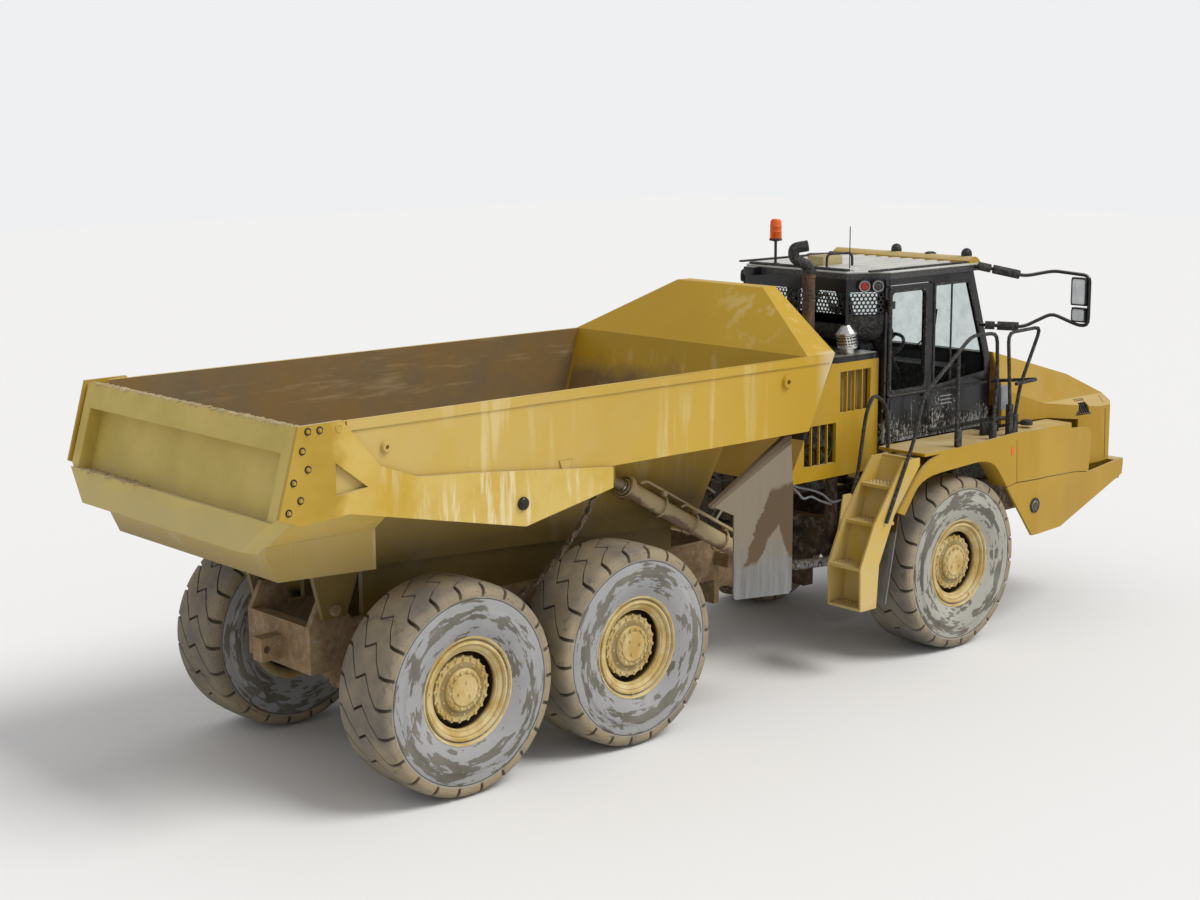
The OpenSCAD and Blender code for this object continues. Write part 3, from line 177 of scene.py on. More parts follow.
class Finish:
    """A material and short calls for the nodes in it."""

    def __init__(self, name, roughness=0.6, metallic=0.0, coat=0.0):
        self.material = bpy.data.materials.new(name)
        self.material.use_nodes = True
        self.tree = self.material.node_tree
        self.shader = self.tree.nodes["Principled BSDF"]
        self.shader.inputs["Roughness"].default_value = roughness
        self.shader.inputs["Metallic"].default_value = metallic
        self.shader.inputs["Coat Weight"].default_value = coat
        self.shader.inputs["Specular IOR Level"].default_value = 0.35
        self.place = self.tree.nodes.new("ShaderNodeTexCoord").outputs["Object"]

    def link(self, value, socket):
        """A link if the value is a socket, else the socket's own value."""
        if isinstance(value, bpy.types.NodeSocket):
            self.tree.links.new(value, socket)
        else:
            socket.default_value = value

    def stretched(self, stretch):
        """Object coordinates, stretched, so that a pattern runs along one axis."""
        node = self.tree.nodes.new("ShaderNodeMapping")
        self.tree.links.new(self.place, node.inputs["Vector"])
        node.inputs["Scale"].default_value = stretch
        return node.outputs["Vector"]

    def noise(self, scale, detail=5.0, rough=0.6, stretch=None, seed=0.0, place=None):
        """Cloudy values from 0 to 1. The scale is in patches a metre."""
        node = self.tree.nodes.new("ShaderNodeTexNoise")
        node.noise_dimensions = "4D"
        node.inputs["W"].default_value = seed
        node.inputs["Scale"].default_value = scale
        node.inputs["Detail"].default_value = detail
        node.inputs["Roughness"].default_value = rough
        where = self.stretched(stretch) if stretch else place or self.place
        self.tree.links.new(where, node.inputs["Vector"])
        return node.outputs["Fac"]

    def fit(self, value, low, high, to_low=0.0, to_high=1.0):
        """A value's stretch from low to high, spread over 0 to 1 and held there."""
        node = self.tree.nodes.new("ShaderNodeMapRange")
        self.tree.links.new(value, node.inputs["Value"])
        node.inputs["From Min"].default_value = low
        node.inputs["From Max"].default_value = high
        node.inputs["To Min"].default_value = to_low
        node.inputs["To Max"].default_value = to_high
        return node.outputs["Result"]

    def math(self, kind, a, b=0.0):
        node = self.tree.nodes.new("ShaderNodeMath")
        node.operation = kind
        self.link(a, node.inputs[0])
        self.link(b, node.inputs[1])
        return node.outputs[0]

    def times(self, a, b):
        return self.math("MULTIPLY", a, b)

    def plus(self, a, b):
        return self.math("ADD", a, b)

    def minus(self, a, b):
        return self.math("SUBTRACT", a, b)

    def larger(self, a, b):
        return self.math("MAXIMUM", a, b)

    def magnitude(self, a):
        return self.math("ABSOLUTE", a)

    def mix(self, amount, below, above):
        """One colour over another, by an amount."""
        node = self.tree.nodes.new("ShaderNodeMix")
        node.data_type = "RGBA"
        self.link(amount, node.inputs[0])
        self.link(below, node.inputs[6])
        self.link(above, node.inputs[7])
        return node.outputs[2]

    def part(self, vector, axis):
        """One of the three parts of a vector."""
        node = self.tree.nodes.new("ShaderNodeSeparateXYZ")
        self.tree.links.new(vector, node.inputs[0])
        return node.outputs[axis]

    def height(self):
        return self.part(self.place, 2)

    def normal(self, axis):
        """One part of the surface's direction on the piece itself, so it stays when the piece turns."""
        return self.part(self.tree.nodes.new("ShaderNodeTexCoord").outputs["Normal"], axis)

    def facing_up(self):
        """1 on a level surface, 0 on a wall."""
        return self.fit(self.normal(2), 0.25, 0.95)

    def attribute(self, name, kind="Fac"):
        """A value that the mesh carries at each of its points."""
        node = self.tree.nodes.new("ShaderNodeAttribute")
        node.attribute_name = name
        return node.outputs[kind]

    def band(self, value, low, high, soft):
        """1 between two values, with soft ends."""
        rise = self.fit(value, low - soft, low + soft)
        fall = self.fit(value, high + soft, high - soft)
        return self.times(rise, fall)

    def edges(self, radius):
        """1 on sharp edges, where the paint is rubbed, from the Bevel node's rounded normal."""
        bevel = self.tree.nodes.new("ShaderNodeBevel")
        bevel.samples = 3
        bevel.inputs["Radius"].default_value = radius
        dot = self.tree.nodes.new("ShaderNodeVectorMath")
        dot.operation = "DOT_PRODUCT"
        normal = self.tree.nodes.new("ShaderNodeNewGeometry").outputs["Normal"]
        self.tree.links.new(bevel.outputs["Normal"], dot.inputs[0])
        self.tree.links.new(normal, dot.inputs[1])
        return self.fit(dot.outputs["Value"], 0.985, 0.80)

    def bump(self, value, depth):
        """Relief of a depth in metres."""
        node = self.tree.nodes.new("ShaderNodeBump")
        node.inputs["Distance"].default_value = depth
        self.tree.links.new(value, node.inputs["Height"])
        self.tree.links.new(node.outputs["Normal"], self.shader.inputs["Normal"])

    def done(self, colour, roughness=None):
        self.link(colour, self.shader.inputs["Base Color"])
        if roughness is not None:
            self.link(roughness, self.shader.inputs["Roughness"])
        return self.material


# %% [markdown]
# ## Paint
# The real truck is sprayed in one gold yellow. It has faded a little where rain runs, it is dusty on
# every ledge, and brown soil clings low down. One recipe with a few sliders covers all of it: a
# helper builds the node tree, and each group of pieces asks for its own amount of dust and soil.

# %% Paint finishes
PAINT = srgb(180, 142, 10)
PAINT_DEEP = srgb(166, 128, 6)
BED_PAINT = srgb(190, 152, 16)
BED_PAINT_DEEP = srgb(178, 140, 10)
PAINT_BLEACHED = srgb(208, 182, 104)
DUST_PALE = srgb(198, 180, 136)
DUST_GREY = srgb(168, 160, 142)
MUD_BROWN = srgb(112, 84, 58)
MUD_DARK = srgb(62, 46, 34)
STEEL_DARK = srgb(64, 54, 46)


def paint_finish(name, dust=0.4, streaks=0.3, mud_top=0.0, mud_bottom=-1.0, base=PAINT, deep=PAINT_DEEP,
                 rub=0.7, under=0.0):
    """Yellow paint. Dust is paler, streaks run down, and soil covers it below a height."""
    f = Finish(name, roughness=0.42, coat=0.1)
    broad = f.noise(0.8, 2.0, 0.5, seed=1.0)
    cloud = f.noise(3.2, 6.0, 0.62, seed=2.0)
    streak = f.noise(9.0, 4.0, 0.6, stretch=(1.0, 1.0, 0.07), seed=3.0)
    fine = f.noise(90.0, 3.0, 0.7, seed=4.0)
    colour = f.mix(f.fit(broad, 0.35, 0.65), deep, base)
    run = f.times(f.fit(streak, 0.50, 0.74), streaks)
    colour = f.mix(run, colour, PAINT_BLEACHED)
    dusty = f.times(f.fit(cloud, 0.40, 0.72), dust)
    colour = f.mix(dusty, colour, DUST_PALE)
    speck = f.times(f.fit(fine, 0.60, 0.78), 0.30 * dust)
    colour = f.mix(speck, colour, DUST_GREY)
    level = f.times(f.facing_up(), f.fit(cloud, 0.30, 0.60, 0.35, 0.85))
    colour = f.mix(level, colour, DUST_PALE)
    if under:
        # Darker brown on faces that point down, by the amount under.
        downward = f.plus(f.normal(2), f.fit(cloud, 0.3, 0.7, -0.5, 0.5))
        colour = f.mix(f.fit(downward, -0.35, -0.60, 0.0, under), colour, MUD_BROWN)
    worn = f.times(f.edges(0.010), f.fit(cloud, 0.46, 0.62))
    colour = f.mix(f.times(worn, rub), colour, STEEL_DARK)
    if mud_top > mud_bottom:
        ragged = f.plus(f.height(), f.fit(cloud, 0.3, 0.7, -0.35, 0.35))
        soil = f.mix(f.fit(cloud, 0.4, 0.6), MUD_BROWN, DUST_GREY)
        colour = f.mix(f.fit(ragged, mud_top, mud_bottom, 0.0, 0.9), colour, soil)
    f.bump(fine, 0.0004)
    return f.done(colour, f.fit(cloud, 0.3, 0.7, 0.38, 0.72))


paint = paint_finish("paint_body", dust=0.12, streaks=0.10)
paint_steps = paint_finish("paint_steps", dust=0.75, streaks=0.4, mud_top=0.80, mud_bottom=0.1,
                           base=srgb(204, 176, 88), deep=srgb(190, 154, 48))
paint_hoist = paint_finish("paint_hoist", dust=1.0, base=srgb(190, 174, 138), deep=srgb(158, 136, 100),
                           under=0.9)
# Painted shade: the body's yellow, darkened, for the pressed sheet deep behind the cooling box's window.
paint_core = paint_finish("paint_core", dust=0.3, base=srgb(122, 96, 16), deep=srgb(78, 62, 14))
print("paint finishes", len(bpy.data.materials))

# %% [markdown]
# ## The bed's own paint
# Outside, the bed is smooth and gold in front and dustier towards the tail. Inside, rock and earth
# have scoured it to brown steel. The shader tells the two apart by the way a surface faces on the
# piece itself, so the pattern stays in place when the bed tips.

# %% Bed finish
BED_DUSTY_X = MID_X - 2.6
BED_CLEAN_X = MID_X + 1.8
BED_LIP_X = MID_X + 2.08
BED_INNER_Y = 1.375
BED_BELLY_Z = 1.95
BED_SCOURED_Z = (2.70, 2.50)


def bed_finish():
    f = Finish("paint_bed", roughness=0.45, coat=0.1)
    cloud = f.noise(2.6, 6.0, 0.6, seed=2.0)
    broad = f.noise(0.7, 2.0, 0.5, seed=1.5)
    streak = f.noise(7.0, 4.0, 0.6, stretch=(1.0, 1.0, 0.08), seed=3.5)
    scrape = f.noise(11.0, 4.0, 0.7, stretch=(0.12, 1.0, 1.0), seed=4.5)
    fine = f.noise(90.0, 3.0, 0.7, seed=4.0)
    x, y = f.part(f.place, 0), f.part(f.place, 1)
    tail = f.fit(x, BED_CLEAN_X, BED_DUSTY_X)
    colour = f.mix(f.fit(broad, 0.35, 0.65), BED_PAINT_DEEP, BED_PAINT)
    colour = f.mix(f.times(tail, 0.60), colour, PAINT_BLEACHED)
    runs = f.times(f.fit(streak, 0.54, 0.62), f.fit(broad, 0.48, 0.60))
    pale = f.times(runs, f.plus(f.times(tail, 0.35), 0.30))
    colour = f.mix(pale, colour, srgb(222, 204, 152))
    dusty = f.times(f.fit(cloud, 0.34, 0.70), f.plus(f.times(tail, 0.35), 0.06))
    colour = f.mix(dusty, colour, DUST_PALE)
    lip = f.times(f.fit(x, BED_LIP_X - 0.10, BED_LIP_X + 0.06), f.fit(cloud, 0.30, 0.60, 0.35, 0.9))
    lip = f.times(lip, f.fit(f.magnitude(y), 1.39, 1.42))
    colour = f.mix(lip, colour, srgb(206, 196, 164))
    # Painted shade: below the side plates the bed's belly darkens to a deep olive brown.
    belly_shade = f.times(f.fit(f.height(), BED_BELLY_Z + 0.2, BED_BELLY_Z - 0.3), 0.8)
    colour = f.mix(belly_shade, colour, f.mix(f.fit(cloud, 0.4, 0.6), srgb(44, 34, 10), srgb(72, 56, 16)))
    worn = f.times(f.edges(0.012), f.fit(cloud, 0.44, 0.60))
    colour = f.mix(f.times(worn, 0.75), colour, STEEL_DARK)
    # Inner faces: side walls that face the middle, the floor, and the front wall's rear
    inward = f.times(f.times(f.normal(1), y), -1.0)
    side = f.fit(inward, 0.05, 0.3)
    within = f.fit(f.magnitude(y), BED_INNER_Y + 0.02, BED_INNER_Y)
    floor_up = f.times(f.fit(f.normal(2), 0.2, 0.5), within)
    rearward = f.times(f.fit(f.normal(0), -0.2, -0.5), within)
    scoured = f.plus(f.height(), f.fit(cloud, 0.3, 0.7, -0.12, 0.12))
    front_wall = f.times(rearward, f.fit(x, MID_X + 0.5, MID_X + 0.6))
    lowered = f.times(f.larger(floor_up, front_wall), f.fit(scoured, *BED_SCOURED_Z))
    inside = f.larger(side, lowered)
    earth = f.mix(f.fit(cloud, 0.35, 0.65), srgb(122, 96, 66), srgb(96, 84, 72))
    earth = f.mix(f.times(f.fit(scrape, 0.55, 0.72), 0.6), earth, srgb(168, 150, 120))
    colour = f.mix(f.times(inside, 0.85), colour, earth)
    f.bump(f.plus(f.times(scrape, 0.5), fine), 0.0006)
    return f.done(colour, f.fit(cloud, 0.3, 0.7, 0.42, 0.75))


def gate_finish():
    """Khaki behind, where the dust settles, and clean gold on the ears and arms at the sides."""
    f = Finish("paint_gate", roughness=0.5, coat=0.1)
    cloud = f.noise(2.4, 5.0, 0.55, seed=2.4)
    fine = f.noise(80.0, 3.0, 0.7, seed=4.2)
    streak = f.noise(12.0, 4.0, 0.6, stretch=(1.0, 1.0, 0.12), seed=3.9)
    broad = f.noise(1.1, 2.0, 0.5, seed=1.9)
    rear = f.mix(f.fit(cloud, 0.36, 0.64), srgb(182, 160, 72), srgb(200, 178, 96))
    low = f.plus(f.height(), f.fit(cloud, 0.3, 0.7, -0.08, 0.08))
    rear = f.mix(f.times(f.fit(low, 2.36, 2.18), 0.6), rear, srgb(190, 172, 118))
    x, y = f.part(f.place, 0), f.magnitude(f.part(f.place, 1))
    ear = f.mix(f.fit(cloud, 0.36, 0.64), srgb(170, 136, 34), srgb(182, 150, 54))
    arm = f.mix(f.fit(cloud, 0.32, 0.60), srgb(192, 156, 46), srgb(206, 178, 96))
    runs = f.times(f.fit(streak, 0.52, 0.60), f.fit(broad, 0.46, 0.58))
    arm = f.mix(f.times(runs, 0.75), arm, srgb(224, 210, 168))
    along = f.plus(x, f.fit(cloud, 0.3, 0.7, -0.12, 0.12))
    side = f.mix(f.fit(along, MID_X - 2.86, MID_X - 2.74), ear, arm)
    colour = f.mix(f.fit(y, 1.425, 1.435), rear, side)
    level = f.times(f.facing_up(), f.fit(cloud, 0.30, 0.60, 0.45, 0.95))
    colour = f.mix(level, colour, srgb(190, 178, 148))
    worn = f.times(f.edges(0.010), f.fit(cloud, 0.50, 0.62))
    colour = f.mix(f.times(worn, 0.5), colour, STEEL_DARK)
    f.bump(fine, 0.0005)
    return f.done(colour, f.fit(cloud, 0.3, 0.7, 0.45, 0.75))


paint_bed, paint_gate = bed_finish(), gate_finish()
print("bed and gate finishes made")

# %% [markdown]
# ## Black paint, mud, steel and the other finishes
# The cab is black with splashes that dried white. The frames and axles are steel under brown mud.
# The rods of the cylinders are bright, since their seals wipe them clean.

# %% Other finishes
def black_finish():
    f = Finish("black_cab", roughness=0.35, coat=0.2)
    splash = f.noise(46.0, 5.0, 0.7, stretch=(1.0, 1.0, 0.5), seed=5.0)
    where = f.noise(2.2, 3.0, 0.6, seed=6.0)
    run = f.noise(38.0, 3.0, 0.65, stretch=(1.0, 1.0, 0.06), seed=7.0)
    low = f.fit(f.height(), 2.42, 1.95)
    cover = f.times(f.plus(low, f.fit(where, 0.3, 0.7, -0.75, 0.25)), 0.22)
    amount = f.fit(f.plus(splash, cover), 0.64, 0.72)
    runs = f.fit(f.plus(run, f.times(cover, 0.8)), 0.64, 0.74, 0.0, 0.7)
    amount = f.larger(amount, f.times(runs, low))
    colour = f.mix(amount, srgb(20, 20, 22), srgb(158, 158, 156))
    colour = f.mix(f.times(f.facing_up(), 0.5), colour, DUST_GREY)
    f.bump(splash, 0.0004)
    return f.done(colour, f.fit(amount, 0.0, 1.0, 0.32, 0.85))


def mud_finish(name, base, cover):
    """Steel under dried mud."""
    f = Finish(name, roughness=0.9)
    patch = f.noise(4.0, 6.0, 0.7, seed=8.0)
    grain = f.noise(70.0, 5.0, 0.7, seed=9.0)
    lump = f.noise(16.0, 6.0, 0.7, seed=10.0)
    colour = f.mix(f.fit(patch, 0.35, 0.65), base, cover)
    colour = f.mix(f.times(f.fit(lump, 0.5, 0.7), 0.6), colour, DUST_GREY)
    colour = f.mix(f.times(f.facing_up(), 0.6), colour, srgb(150, 128, 100))
    colour = f.mix(f.times(f.fit(grain, 0.5, 0.7), 0.4), colour, MUD_DARK)
    f.bump(lump, 0.006)
    return f.done(colour)


def plain_finish(name, colour, roughness, metallic=0.0, dust=0.3, grain=40.0, depth=0.0004, tint=None):
    """One material with a little dust and grain over it."""
    f = Finish(name, roughness=roughness, metallic=metallic)
    fine = f.noise(grain, 4.0, 0.65, seed=11.0)
    patch = f.noise(5.0, 5.0, 0.6, seed=12.0)
    shade = f.mix(f.fit(patch, 0.35, 0.65), colour, tint or tuple(0.75 * c for c in colour[:3]) + (1.0,))
    shade = f.mix(f.times(f.fit(fine, 0.45, 0.7), dust), shade, DUST_GREY)
    f.bump(fine, depth)
    return f.done(shade, f.fit(patch, 0.3, 0.7, roughness * 0.8, min(1.0, roughness * 1.25)))


def glass_finish():
    f = Finish("window_glass", roughness=0.05)
    f.shader.inputs["Transmission Weight"].default_value = 1.0
    f.shader.inputs["IOR"].default_value = 1.06
    smear = f.noise(9.0, 5.0, 0.7, seed=13.0)
    return f.done(f.mix(f.fit(smear, 0.45, 0.75), (0.80, 0.84, 0.84, 1.0), (0.66, 0.70, 0.70, 1.0)))


black = black_finish()
mud = mud_finish("mud_steel", srgb(112, 90, 64), srgb(154, 128, 94))
mud_dark = mud_finish("mud_dark", srgb(44, 38, 34), srgb(90, 70, 50))
crust_soil = mud_finish("dried_soil", srgb(196, 182, 140), srgb(172, 154, 110))
chrome = plain_finish("rod_steel", srgb(205, 205, 202), 0.25, metallic=1.0, dust=0.35, grain=18.0,
                      depth=0.0001)
dusty_rod = plain_finish("dusty_rod", srgb(160, 146, 120), 0.5, metallic=0.4, dust=0.6,
                         tint=srgb(120, 102, 76))
scoop_grey = plain_finish("scoop_grey", srgb(70, 71, 74), 0.45, dust=0.5, tint=srgb(48, 48, 50))
pale_plate = plain_finish("pale_plate", srgb(150, 154, 160), 0.5, dust=0.3)
dark_lens = plain_finish("dark_lens", srgb(58, 56, 50), 0.12, dust=0.25)
iron = plain_finish("dark_iron", srgb(52, 48, 44), 0.7, dust=0.4, grain=30.0, depth=0.002)
rust = plain_finish("heat_pipe", srgb(96, 68, 50), 0.75, dust=0.25, tint=srgb(58, 44, 36), depth=0.001)
trim = plain_finish("trim_plastic", srgb(34, 34, 36), 0.6, dust=0.22)
# Black grease on the gate's pins; the same black is the painted shade in the bolt recesses, the vent and the
# grille.
grease_and_shade = plain_finish("black_grease_and_shade", srgb(26, 23, 20), 0.3, dust=0.10, depth=0.002)
cloth = plain_finish("seat_cloth", srgb(46, 46, 50), 0.95, dust=0.15, grain=320.0, depth=0.001)
lens = plain_finish("lamp_lens", srgb(226, 226, 220), 0.12, dust=0.25)
red_lens = plain_finish("red_lens", srgb(170, 34, 28), 0.15, dust=0.2)
orange = plain_finish("beacon_orange", srgb(238, 108, 22), 0.18, dust=0.12, tint=srgb(214, 78, 12))
chain_steel = plain_finish("chain_steel", srgb(92, 76, 58), 0.7, metallic=0.3, dust=0.3, depth=0.001)
# Painted reflection: the mirrors' glass is a pale grey that stands for the bright sky seen in it.
mirror_painted_reflection = plain_finish("mirror_painted_reflection", srgb(232, 236, 238), 0.18, dust=0.1, tint=srgb(196, 202, 206))
hose = plain_finish("hose_rubber", srgb(52, 48, 44), 0.8, dust=0.45, depth=0.001)
pale_hose = plain_finish("pale_hose", srgb(196, 190, 178), 0.7, dust=0.5, depth=0.001)
glass = glass_finish()
print("finishes", len(bpy.data.materials))

# %% [markdown]
# ## Rubber
# A working tyre is grey with dust on its side, where rubbed patches show the darker rubber, and
# brown on its tread. The tyre's mesh carries three values: the distance from the hub, the depth in
# the tread, and the place that goes round with the tyre. The shader reads them to put each colour in
# its ring and patches. The mud flap is flat grey rubber with a wet brown arch in its upper middle.

# %% Rubber finishes
SIDE_EDGE_R = 0.692
RUBBED_FROM_R, RUBBED_TO_R = 0.52, 0.64


def tyre_finish(name, tread_colour, tread_dark, side_colour):
    f = Finish(name, roughness=0.85)
    ring = f.attribute("ring")
    depth = f.attribute("depth")
    around = f.attribute("around", "Vector")
    patch = f.noise(2.6, 5.0, 0.60, seed=14.0, place=around)
    scuff = f.noise(9.0, 4.0, 0.6, seed=14.5, place=around)
    cloud = f.noise(2.2, 5.0, 0.6, seed=15.0)
    fine = f.noise(55.0, 5.0, 0.7, seed=16.0)
    ringed = f.plus(patch, f.times(f.band(ring, RUBBED_FROM_R, RUBBED_TO_R, 0.03), 0.075))
    rubbed = f.larger(f.fit(ringed, 0.560, 0.580), f.fit(scuff, 0.66, 0.69, 0.0, 0.8))
    side = f.mix(f.fit(cloud, 0.35, 0.65), side_colour, tuple(0.84 * c for c in side_colour[:3]) + (1.0,))
    side = f.mix(rubbed, side, f.mix(f.fit(cloud, 0.35, 0.65), srgb(124, 120, 110), srgb(96, 92, 82)))
    side = f.mix(f.times(f.fit(fine, 0.58, 0.7), 0.4), side, srgb(120, 117, 110))
    # Painted shade: a dark line in the small groove where the side meets the tread.
    side = f.mix(f.band(ring, SIDE_EDGE_R - 0.004, SIDE_EDGE_R + 0.004, 0.003), side, srgb(70, 66, 60))
    tread = f.mix(f.fit(cloud, 0.38, 0.62), tread_dark, tread_colour)
    shoulder = f.times(f.fit(ring, 0.785, 0.735), f.fit(cloud, 0.35, 0.60, 0.3, 0.9))
    tread = f.mix(shoulder, tread, srgb(158, 142, 112))
    tread = f.mix(f.fit(scuff, 0.58, 0.66, 0.0, 0.5), tread, srgb(84, 78, 72))
    tread = f.mix(f.times(f.fit(fine, 0.52, 0.7), 0.45), tread, srgb(92, 84, 74))
    # Painted shade: darker towards the bottom of the tread's grooves.
    tread = f.mix(f.times(depth, 0.85), tread, srgb(46, 40, 34))
    colour = f.mix(f.fit(ring, SIDE_EDGE_R, SIDE_EDGE_R + 0.02), side, tread)
    f.bump(f.plus(fine, patch), 0.0025)
    return f.done(colour)


# Top of the wet arch on the mud flap, from the mid axle and from the ground
WET_TOP = (1.60, 1.88)


def flap_finish():
    f = Finish("flap_rubber", roughness=0.8)
    cloud = f.noise(7.0, 5.0, 0.65, seed=17.0)
    fine = f.noise(70.0, 4.0, 0.7, seed=18.0)
    streak = f.noise(16.0, 4.0, 0.6, stretch=(1.0, 1.0, 0.1), seed=19.0)
    ragged = f.fit(cloud, 0.3, 0.7, -0.035, 0.035)
    x = f.plus(f.minus(f.part(f.place, 0), MID_X + WET_TOP[0]), ragged)
    down = f.plus(f.minus(WET_TOP[1], f.height()), ragged)

    def right_of(slope, start):
        """1 to the right of a line that leans, which starts below the arch's top."""
        return f.fit(f.plus(x, f.times(f.minus(down, start), slope)), -0.008, 0.008)

    arch = f.times(f.times(right_of(0.50, -0.20), f.fit(down, 0.0, 0.03)), f.fit(down, 0.66, 0.62))
    hollow = f.times(right_of(0.66, 0.31), f.minus(1.0, right_of(-0.42, 0.31)))
    wet = f.times(arch, f.minus(1.0, f.times(hollow, f.fit(down, 0.31, 0.34))))
    colour = f.mix(f.fit(streak, 0.40, 0.65), srgb(126, 126, 124), srgb(106, 106, 104))
    colour = f.mix(f.times(f.fit(down, 0.75, 0.35), 0.85), colour, srgb(132, 118, 96))
    colour = f.mix(wet, colour, srgb(86, 68, 44))
    rib = f.minus(f.height(), f.times(f.minus(f.part(f.place, 0), MID_X - 3.1), 0.455))
    colour = f.mix(f.times(f.fit(rib, -0.02, 0.02), 0.85), colour, srgb(84, 68, 50))
    colour = f.mix(f.times(f.fit(fine, 0.55, 0.7), 0.3), colour, srgb(98, 90, 78))
    f.bump(f.plus(cloud, fine), 0.003)
    return f.done(colour, f.fit(wet, 0.0, 1.0, 0.85, 0.55))


tyre_rear = tyre_finish("tyre_rear", srgb(150, 137, 112), srgb(112, 106, 98), srgb(160, 160, 160))
tyre_front = tyre_finish("tyre_front", srgb(140, 130, 112), srgb(104, 100, 94), srgb(172, 170, 160))
flap_rubber = flap_finish()


def rim_finish():
    """Beige paint with brown dust. The mesh carries how shaded each groove and hollow is."""
    f = Finish("paint_rim", roughness=0.55)
    cloud = f.noise(6.0, 5.0, 0.6, seed=24.0)
    fine = f.noise(60.0, 4.0, 0.7, seed=25.0)
    colour = f.mix(f.fit(cloud, 0.38, 0.62), srgb(208, 188, 136), srgb(182, 152, 82))
    colour = f.mix(f.times(f.fit(fine, 0.52, 0.68), 0.35), colour, srgb(140, 114, 72))
    colour = f.mix(f.times(f.edges(0.004), 0.35), colour, srgb(206, 190, 150))
    colour = f.mix(f.fit(f.attribute("shade"), 0.0, 1.0, 0.0, 0.93), colour, srgb(38, 29, 16))
    f.bump(fine, 0.0008)
    return f.done(colour)


rim_paint = rim_finish()
print("rubber and rim finishes made")

# %% [markdown]
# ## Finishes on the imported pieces
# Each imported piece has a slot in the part's record. A table gives each slot its finish, and a few
# pieces that have seen more mud or sun than their neighbours get their own. The roof is silver on
# top and dark round its edge.

# %% Finishes on the CAD nodes
ROOF_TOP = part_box("cab_roof")[1][2]


def roof_finish():
    f = Finish("roof_sheet", roughness=0.45)
    fine = f.noise(50.0, 4.0, 0.65, seed=21.0)
    patch = f.noise(3.0, 5.0, 0.6, seed=22.0)
    silver = f.mix(f.fit(patch, 0.35, 0.65), srgb(212, 213, 208), srgb(190, 190, 184))
    silver = f.mix(f.times(f.fit(fine, 0.5, 0.7), 0.3), silver, DUST_GREY)
    dark = f.mix(f.fit(fine, 0.4, 0.7), srgb(44, 44, 46), srgb(92, 90, 86))
    f.bump(fine, 0.0004)
    return f.done(f.mix(f.fit(f.height(), ROOF_TOP - 0.030, ROOF_TOP - 0.020), dark, silver))


roof_sheet = roof_finish()
SLOT_FINISH = {
    "paint": paint, "paint_old": paint_steps, "black": black, "mud": mud, "roof": roof_sheet,
    "steel": chrome, "iron": iron, "rust": rust, "glass": glass, "trim": trim, "cloth": cloth,
    "lens": lens, "orange": orange, "tyre": tyre_rear, "rim": rim_paint, "flap": flap_rubber,
    "chain": chain_steel}
NODE_FINISH = {"bed": paint_bed, "tailgate": paint_gate, "hoist_barrels": paint_hoist,
               "front_frame": mud_dark, "front_axle": mud_dark, "handrails": trim, "hoist_rods": dusty_rod,
               "steer_rod_right": dusty_rod, "steer_rod_left": dusty_rod}
SLOT_OF = {finish.name: slot for slot, finish in SLOT_FINISH.items()}
EXTRA_SLOTS = ((paint_gate, "paint"), (paint_bed, "paint"), (paint_hoist, "paint"), (paint_core, "paint"),
               (dusty_rod, "steel"), (scoop_grey, "trim"), (pale_plate, "trim"), (dark_lens, "lens"),
               (crust_soil, "mud"), (mud_dark, "mud"), (grease_and_shade, "iron"), (red_lens, "lens"),
               (mirror_painted_reflection, "steel"), (hose, "trim"), (pale_hose, "trim"), (tyre_front, "tyre"))
for finish, slot in EXTRA_SLOTS:
    SLOT_OF[finish.name] = slot


def wear(node, finish):
    """Gives a CAD node one finish on all its faces."""
    mesh = frame["nodes"][node].data
    mesh.materials.clear()
    mesh.materials.append(finish)


for subpart in frame["record"]["subparts"]:
    name = subpart["node"]
    wear(name, NODE_FINISH.get(name, SLOT_FINISH[subpart["material_slot"]]))
print("finishes on", len(frame["nodes"]), "nodes")

# %% [markdown]
# ## Shapes for small pieces
# The small pieces are turned, bent from pipe, or cut from plate, so five helpers are enough: a plate
# with thickness, a band between two outlines, a block with its edges taken off, a bent pipe, and a
# turned ring. Each one adds its faces to a mesh under construction, and hand_in turns that mesh into
# a piece on its body.

# %% Mesh helpers
SIDES = {"right": -1, "left": 1}
UP = Vector((0, 0, 1))
SMOOTH_BELOW = math.radians(38)


def hand_in(name, source, finish, body, replaced=()):
    """A piece from a bmesh or a mesh: faces outwards, its finish and its body."""
    if not isinstance(source, bmesh.types.BMesh):
        mesh, source = source, bmesh.new()
        source.from_mesh(mesh)
    bmesh.ops.recalc_face_normals(source, faces=source.faces[:])
    mesh = bpy.data.meshes.new(name)
    source.to_mesh(mesh)
    source.free()
    mesh.materials.clear()
    mesh.materials.append(finish)
    mesh.shade_smooth()
    mesh.set_sharp_from_angle(angle=SMOOTH_BELOW)
    piece = bpy.data.objects.new(name, mesh)
    bpy.context.scene.collection.objects.link(piece)
    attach(piece, body)
    if replaced:
        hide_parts(*replaced)
    return piece


def placed(axis, a, b, c):
    """A point from two values across an axis and one along it."""
    return {"x": (c, a, b), "y": (a, c, b), "z": (a, b, c)}[axis]


def two(a, b, side):
    """A low and a high value across the truck, on one side."""
    return (min(a * side, b * side), max(a * side, b * side))


def route(points, side=1):
    """Points on one side of the tractor, given with x from the front axle and y outwards."""
    return [Vector((FRONT_X + x, side * y, z)) for x, y, z in points]


def turns(count):
    """Angles that share out one turn."""
    return [2 * math.pi * k / count for k in range(count)]


def steps_between(low, high, count):
    return [low + (high - low) * k / count for k in range(count + 1)]


def axes_of(direction):
    """A direction at length 1 and two directions across it."""
    axis = Vector(direction).normalized()
    across = axis.orthogonal().normalized()
    return axis, across, axis.cross(across)


